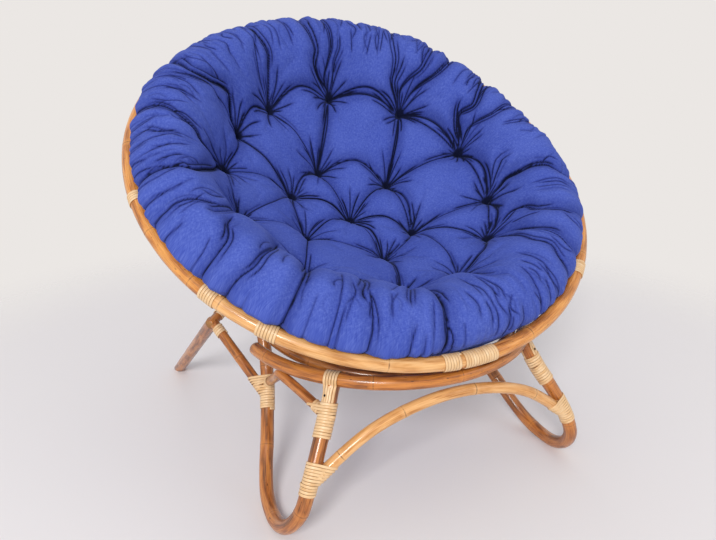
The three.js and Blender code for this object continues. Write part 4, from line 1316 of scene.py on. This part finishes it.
# The fibre lies a little lumpy, by size, height and layer of the noise. The slack border
# ruffles, and the seam round the edge is sewn in and puckers the cloth on both its sides.
lump_kinds = ((0.075, 0.0034, 5), (0.028, 0.0012, 9))
ruffle_rate = 34
ruffle_length = 0.11
ruffle_height = 0.0020
ruffle_from, ruffle_to = 0.3, 0.75
border_start = 0.36
border_width = 0.12
plump = 0.003
lap_fade = 0.05
seam_place = 0.530
seam_width = 0.003
seam_depth = 0.0018
pucker_width = 0.014
pucker_height = 0.0011
pucker_count = 130
pucker_stray = 3
pucker_rounds = 17
lumps = np.zeros(len(flat_u))
ruffle = np.zeros(len(flat_u))
for i in range(len(flat_u)):
    u, v, w = flat_u[i], flat_v[i], reach_flat[i]
    for size, height, layer in lump_kinds:
        lumps[i] += noise.noise(Vector((u / size, v / size, layer))) * height
    if ruffle_from < w < ruffle_to:
        ruffle[i] = noise.noise(Vector((u / w * ruffle_rate, v / w * ruffle_rate, w / ruffle_length)))
border = np.clip((reach_flat - border_start) / border_width, 0, 1)
under_fade = np.clip((flat_reach[len(upper) - 1] - reach_flat) / lap_fade, 0, 1)
seam = np.exp(-np.abs(reach_flat - seam_place) / seam_width)
pucker = np.sin(turn_flat * pucker_count + pucker_stray * np.sin(turn_flat * pucker_rounds))
pucker *= np.exp(-(((reach_flat - seam_place) / pucker_width) ** 2))
shift = plump + lumps + ruffle_height * ruffle * border - broad - narrow
shift = (shift - seam_depth * seam + pucker_height * pucker) * under_fade

# Under the cushion the cloth is pressed flat on each spoke and swells out beside it.
on_spoke = 0.014
swell_reach = 0.045
swell_start = 0.12
swell_rise = 0.1
under_swell = 0.009
under_edge = 0.03
spoke_bearings = np.array(spoke_turns) - math.pi / 2
off_spoke = turn_flat[:, None] - spoke_bearings[None, :]
off_spoke = np.abs((off_spoke + math.pi) % (2 * math.pi) - math.pi).min(axis=1)
free = np.clip((off_spoke * cloth_reach - on_spoke) / swell_reach, 0, 1)
free *= np.clip((cloth_reach - swell_start) / swell_rise, 0, 1)
edge_fade = np.clip((cushion_radius * under_start_share - cloth_reach) / under_edge, 0, 1)
sunk = under_pull + broad + narrow + np.maximum(lumps, 0)
shift = np.where(is_top, shift, (under_swell * eased(free) - sunk) * edge_fade)

# The edge roll isn't even: round the cushion, in degrees, it leans out and settles down by
# some millimetres. Where it leans in it does so higher up than where it leans out.
lean_degrees = [0, 12, 24, 42, 60, 78, 100, 125, 150, 175, 200, 225, 250, 264, 275, 290, 318, 330, 348, 360]
lean_out = [-32, -29, -24, -10, -4, 0, 2, 4, 16, 17, 25, 22, 22, 9, -4, 6, -2, 6, -9, -32]
settle_degrees = [0, 15, 30, 42, 55, 75, 90, 110, 130, 150, 170, 185, 360]
settle = [-26, -27, -24, -16, -9, -8, -5, -8, -4, 6, -10, -4, -16]
lean_in_height, lean_in_spread = 0.062, 0.036
lean_out_height, lean_out_spread = 0.038, 0.026
lean_start = 0.48
rim_room = 0.0195
overhang = np.interp(np.degrees(turn_flat), lean_degrees, lean_out) / 1000
settled = np.interp(np.degrees(turn_flat), settle_degrees, settle) / 1000 * border * under_fade
spread = level_flat + shift * np.repeat(facing[:, 0], cushion_columns)
height = np.repeat(profile[:, 2], cushion_columns) + shift * np.repeat(facing[:, 1], cushion_columns)
lean_height = np.where(overhang < 0, lean_in_height, lean_out_height)
lean_spread = np.where(overhang < 0, lean_in_spread, lean_out_spread)
spread += overhang * np.exp(-(((height - lean_height) / lean_spread) ** 2)) * (reach_flat > lean_start)
height += settled - tuft_pull * under_fade
clear_of_rim = rim_radius - np.sqrt(np.maximum(rim_room**2 - height**2, 0))
spread = np.where(np.abs(height) < rim_room, np.minimum(spread, clear_of_rim), spread)
cushion_local = np.stack([spread * np.cos(turn_flat), spread * np.sin(turn_flat), height], axis=1)
rows = len(profile)
row_starts = np.arange(rows - 1) * cushion_columns
lower, column = np.meshgrid(row_starts, np.arange(cushion_columns), indexing="ij")
following = lower + (column + 1) % cushion_columns
lower = lower + column
quads = np.stack([lower, lower + cushion_columns, following + cushion_columns, following], axis=2)
cushion_faces = quads.reshape(-1, 4).tolist()
cushion_faces.append([(rows - 1) * cushion_columns + k for k in reversed(range(cushion_columns))])

# Blue cotton: a matt plain weave, a little sheeny where it turns away, speckled by its slubs
# and worn paler in places, with painted shade in the folds and in the hollows round the
# stitches. Real slubs are about 0.4 mm wide. They are drawn at 1.2 mm, so that they show.
slub_width = 0.0012
slub_length = 0.010
speckle_size = 0.0045
wear_size = 0.12
# How deep a soft hollow or a sharp fold must be for its full painted shade, and how strong each painted shade
# is
hollow_depth = 0.006
hollow_pull = 0.060
sharp_depth = 0.010
sharp_shade = 0.25
hollow_shade = 0.28
hollow = np.clip(broad / hollow_depth + tuft_pull / hollow_pull, 0, 1)
sharp = np.clip(narrow / sharp_depth, 0, 1)
fold_shade = np.clip(crease_shade + sharp_shade * sharp + hollow_shade * hollow, 0, 1)
cloth_places = np.stack([flat_u, flat_v, np.zeros(len(flat_u))], axis=1)
blue_cotton, tree = blank("blue_cotton")
cloth = put(tree, "ShaderNodeAttribute", attribute_name="cloth").outputs["Vector"]
fold_shade_fac = put(tree, "ShaderNodeAttribute", attribute_name="fold_shade").outputs["Fac"]
slubs = []
for across, length in ((slub_width, slub_length), (slub_length, slub_width)):
    size = (1 / across, 1 / length, 1)
    scaled = put(tree, "ShaderNodeVectorMath", {0: cloth, 1: size}, operation="MULTIPLY").outputs[0]
    slubs.append(put(tree, "ShaderNodeTexNoise", {"Vector": scaled, "Scale": 1, "Detail": 2}).outputs["Fac"])
weave = put(tree, "ShaderNodeMath", {0: slubs[0], 1: slubs[1]}, operation="ADD").outputs[0]
weave = put(tree, "ShaderNodeMath", {0: weave, 1: 0.5}, operation="MULTIPLY").outputs[0]
speckle = {"Vector": cloth, "Scale": 1 / speckle_size, "Detail": 3}
speckle = put(tree, "ShaderNodeTexNoise", speckle).outputs["Fac"]
weave = put(tree, "ShaderNodeMix", {0: 0.35, 2: weave, 3: speckle}).outputs[0]
stops = [(0.36, "#32439b"), (0.5, "#4658ae"), (0.66, "#6576c4")]
colour = put(tree, "ShaderNodeValToRGB", {"Fac": weave}, stops).outputs["Color"]
worn = put(tree, "ShaderNodeTexNoise", {"Vector": cloth, "Scale": 1 / wear_size, "Detail": 3}).outputs["Fac"]
stops = [(0.3, "#394a9f"), (0.7, "#5466b9")]
worn_colour = put(tree, "ShaderNodeValToRGB", {"Fac": worn}, stops).outputs["Color"]
colour = put(tree, "ShaderNodeMix", {0: 0.35, 6: colour, 7: worn_colour}, data_type="RGBA").outputs[2]
# Painted shade: the fold values mix the cloth toward deep navy in creases, sharp folds and the hollows round
# the stitches
dark = put(tree, "ShaderNodeMath", {0: fold_shade_fac, 1: 0.97}, operation="MULTIPLY").outputs[0]
stops = [(0.6, "#040a58"), (1.0, "#02051f")]
painted_shade_colour = put(tree, "ShaderNodeValToRGB", {"Fac": fold_shade_fac}, stops).outputs["Color"]
colour = put(tree, "ShaderNodeMix", {0: dark, 6: colour, 7: painted_shade_colour}, data_type="RGBA").outputs[2]
bump = put(tree, "ShaderNodeBump", {"Height": weave, "Strength": 0.5, "Distance": 0.0006}).outputs[0]
cotton = {"Base Color": colour, "Roughness": 0.88, "Normal": bump, "Specular IOR Level": 0.15}
sheen = {"Sheen Weight": 0.15, "Sheen Roughness": 0.4, "Sheen Tint": linear("#8f9ee0")}
shader = put(tree, "ShaderNodeBsdfPrincipled", {**cotton, **sheen})
put(tree, "ShaderNodeOutputMaterial", {"Surface": shader.outputs[0]})
cloth_values = {"cloth": cloth_places, "fold_shade": fold_shade}
cushion = new_piece("cushion_cover", from_bowl(cushion_local), cushion_faces, [blue_cotton], cloth_values)
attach(cushion, "cushion")
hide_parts("cushion")
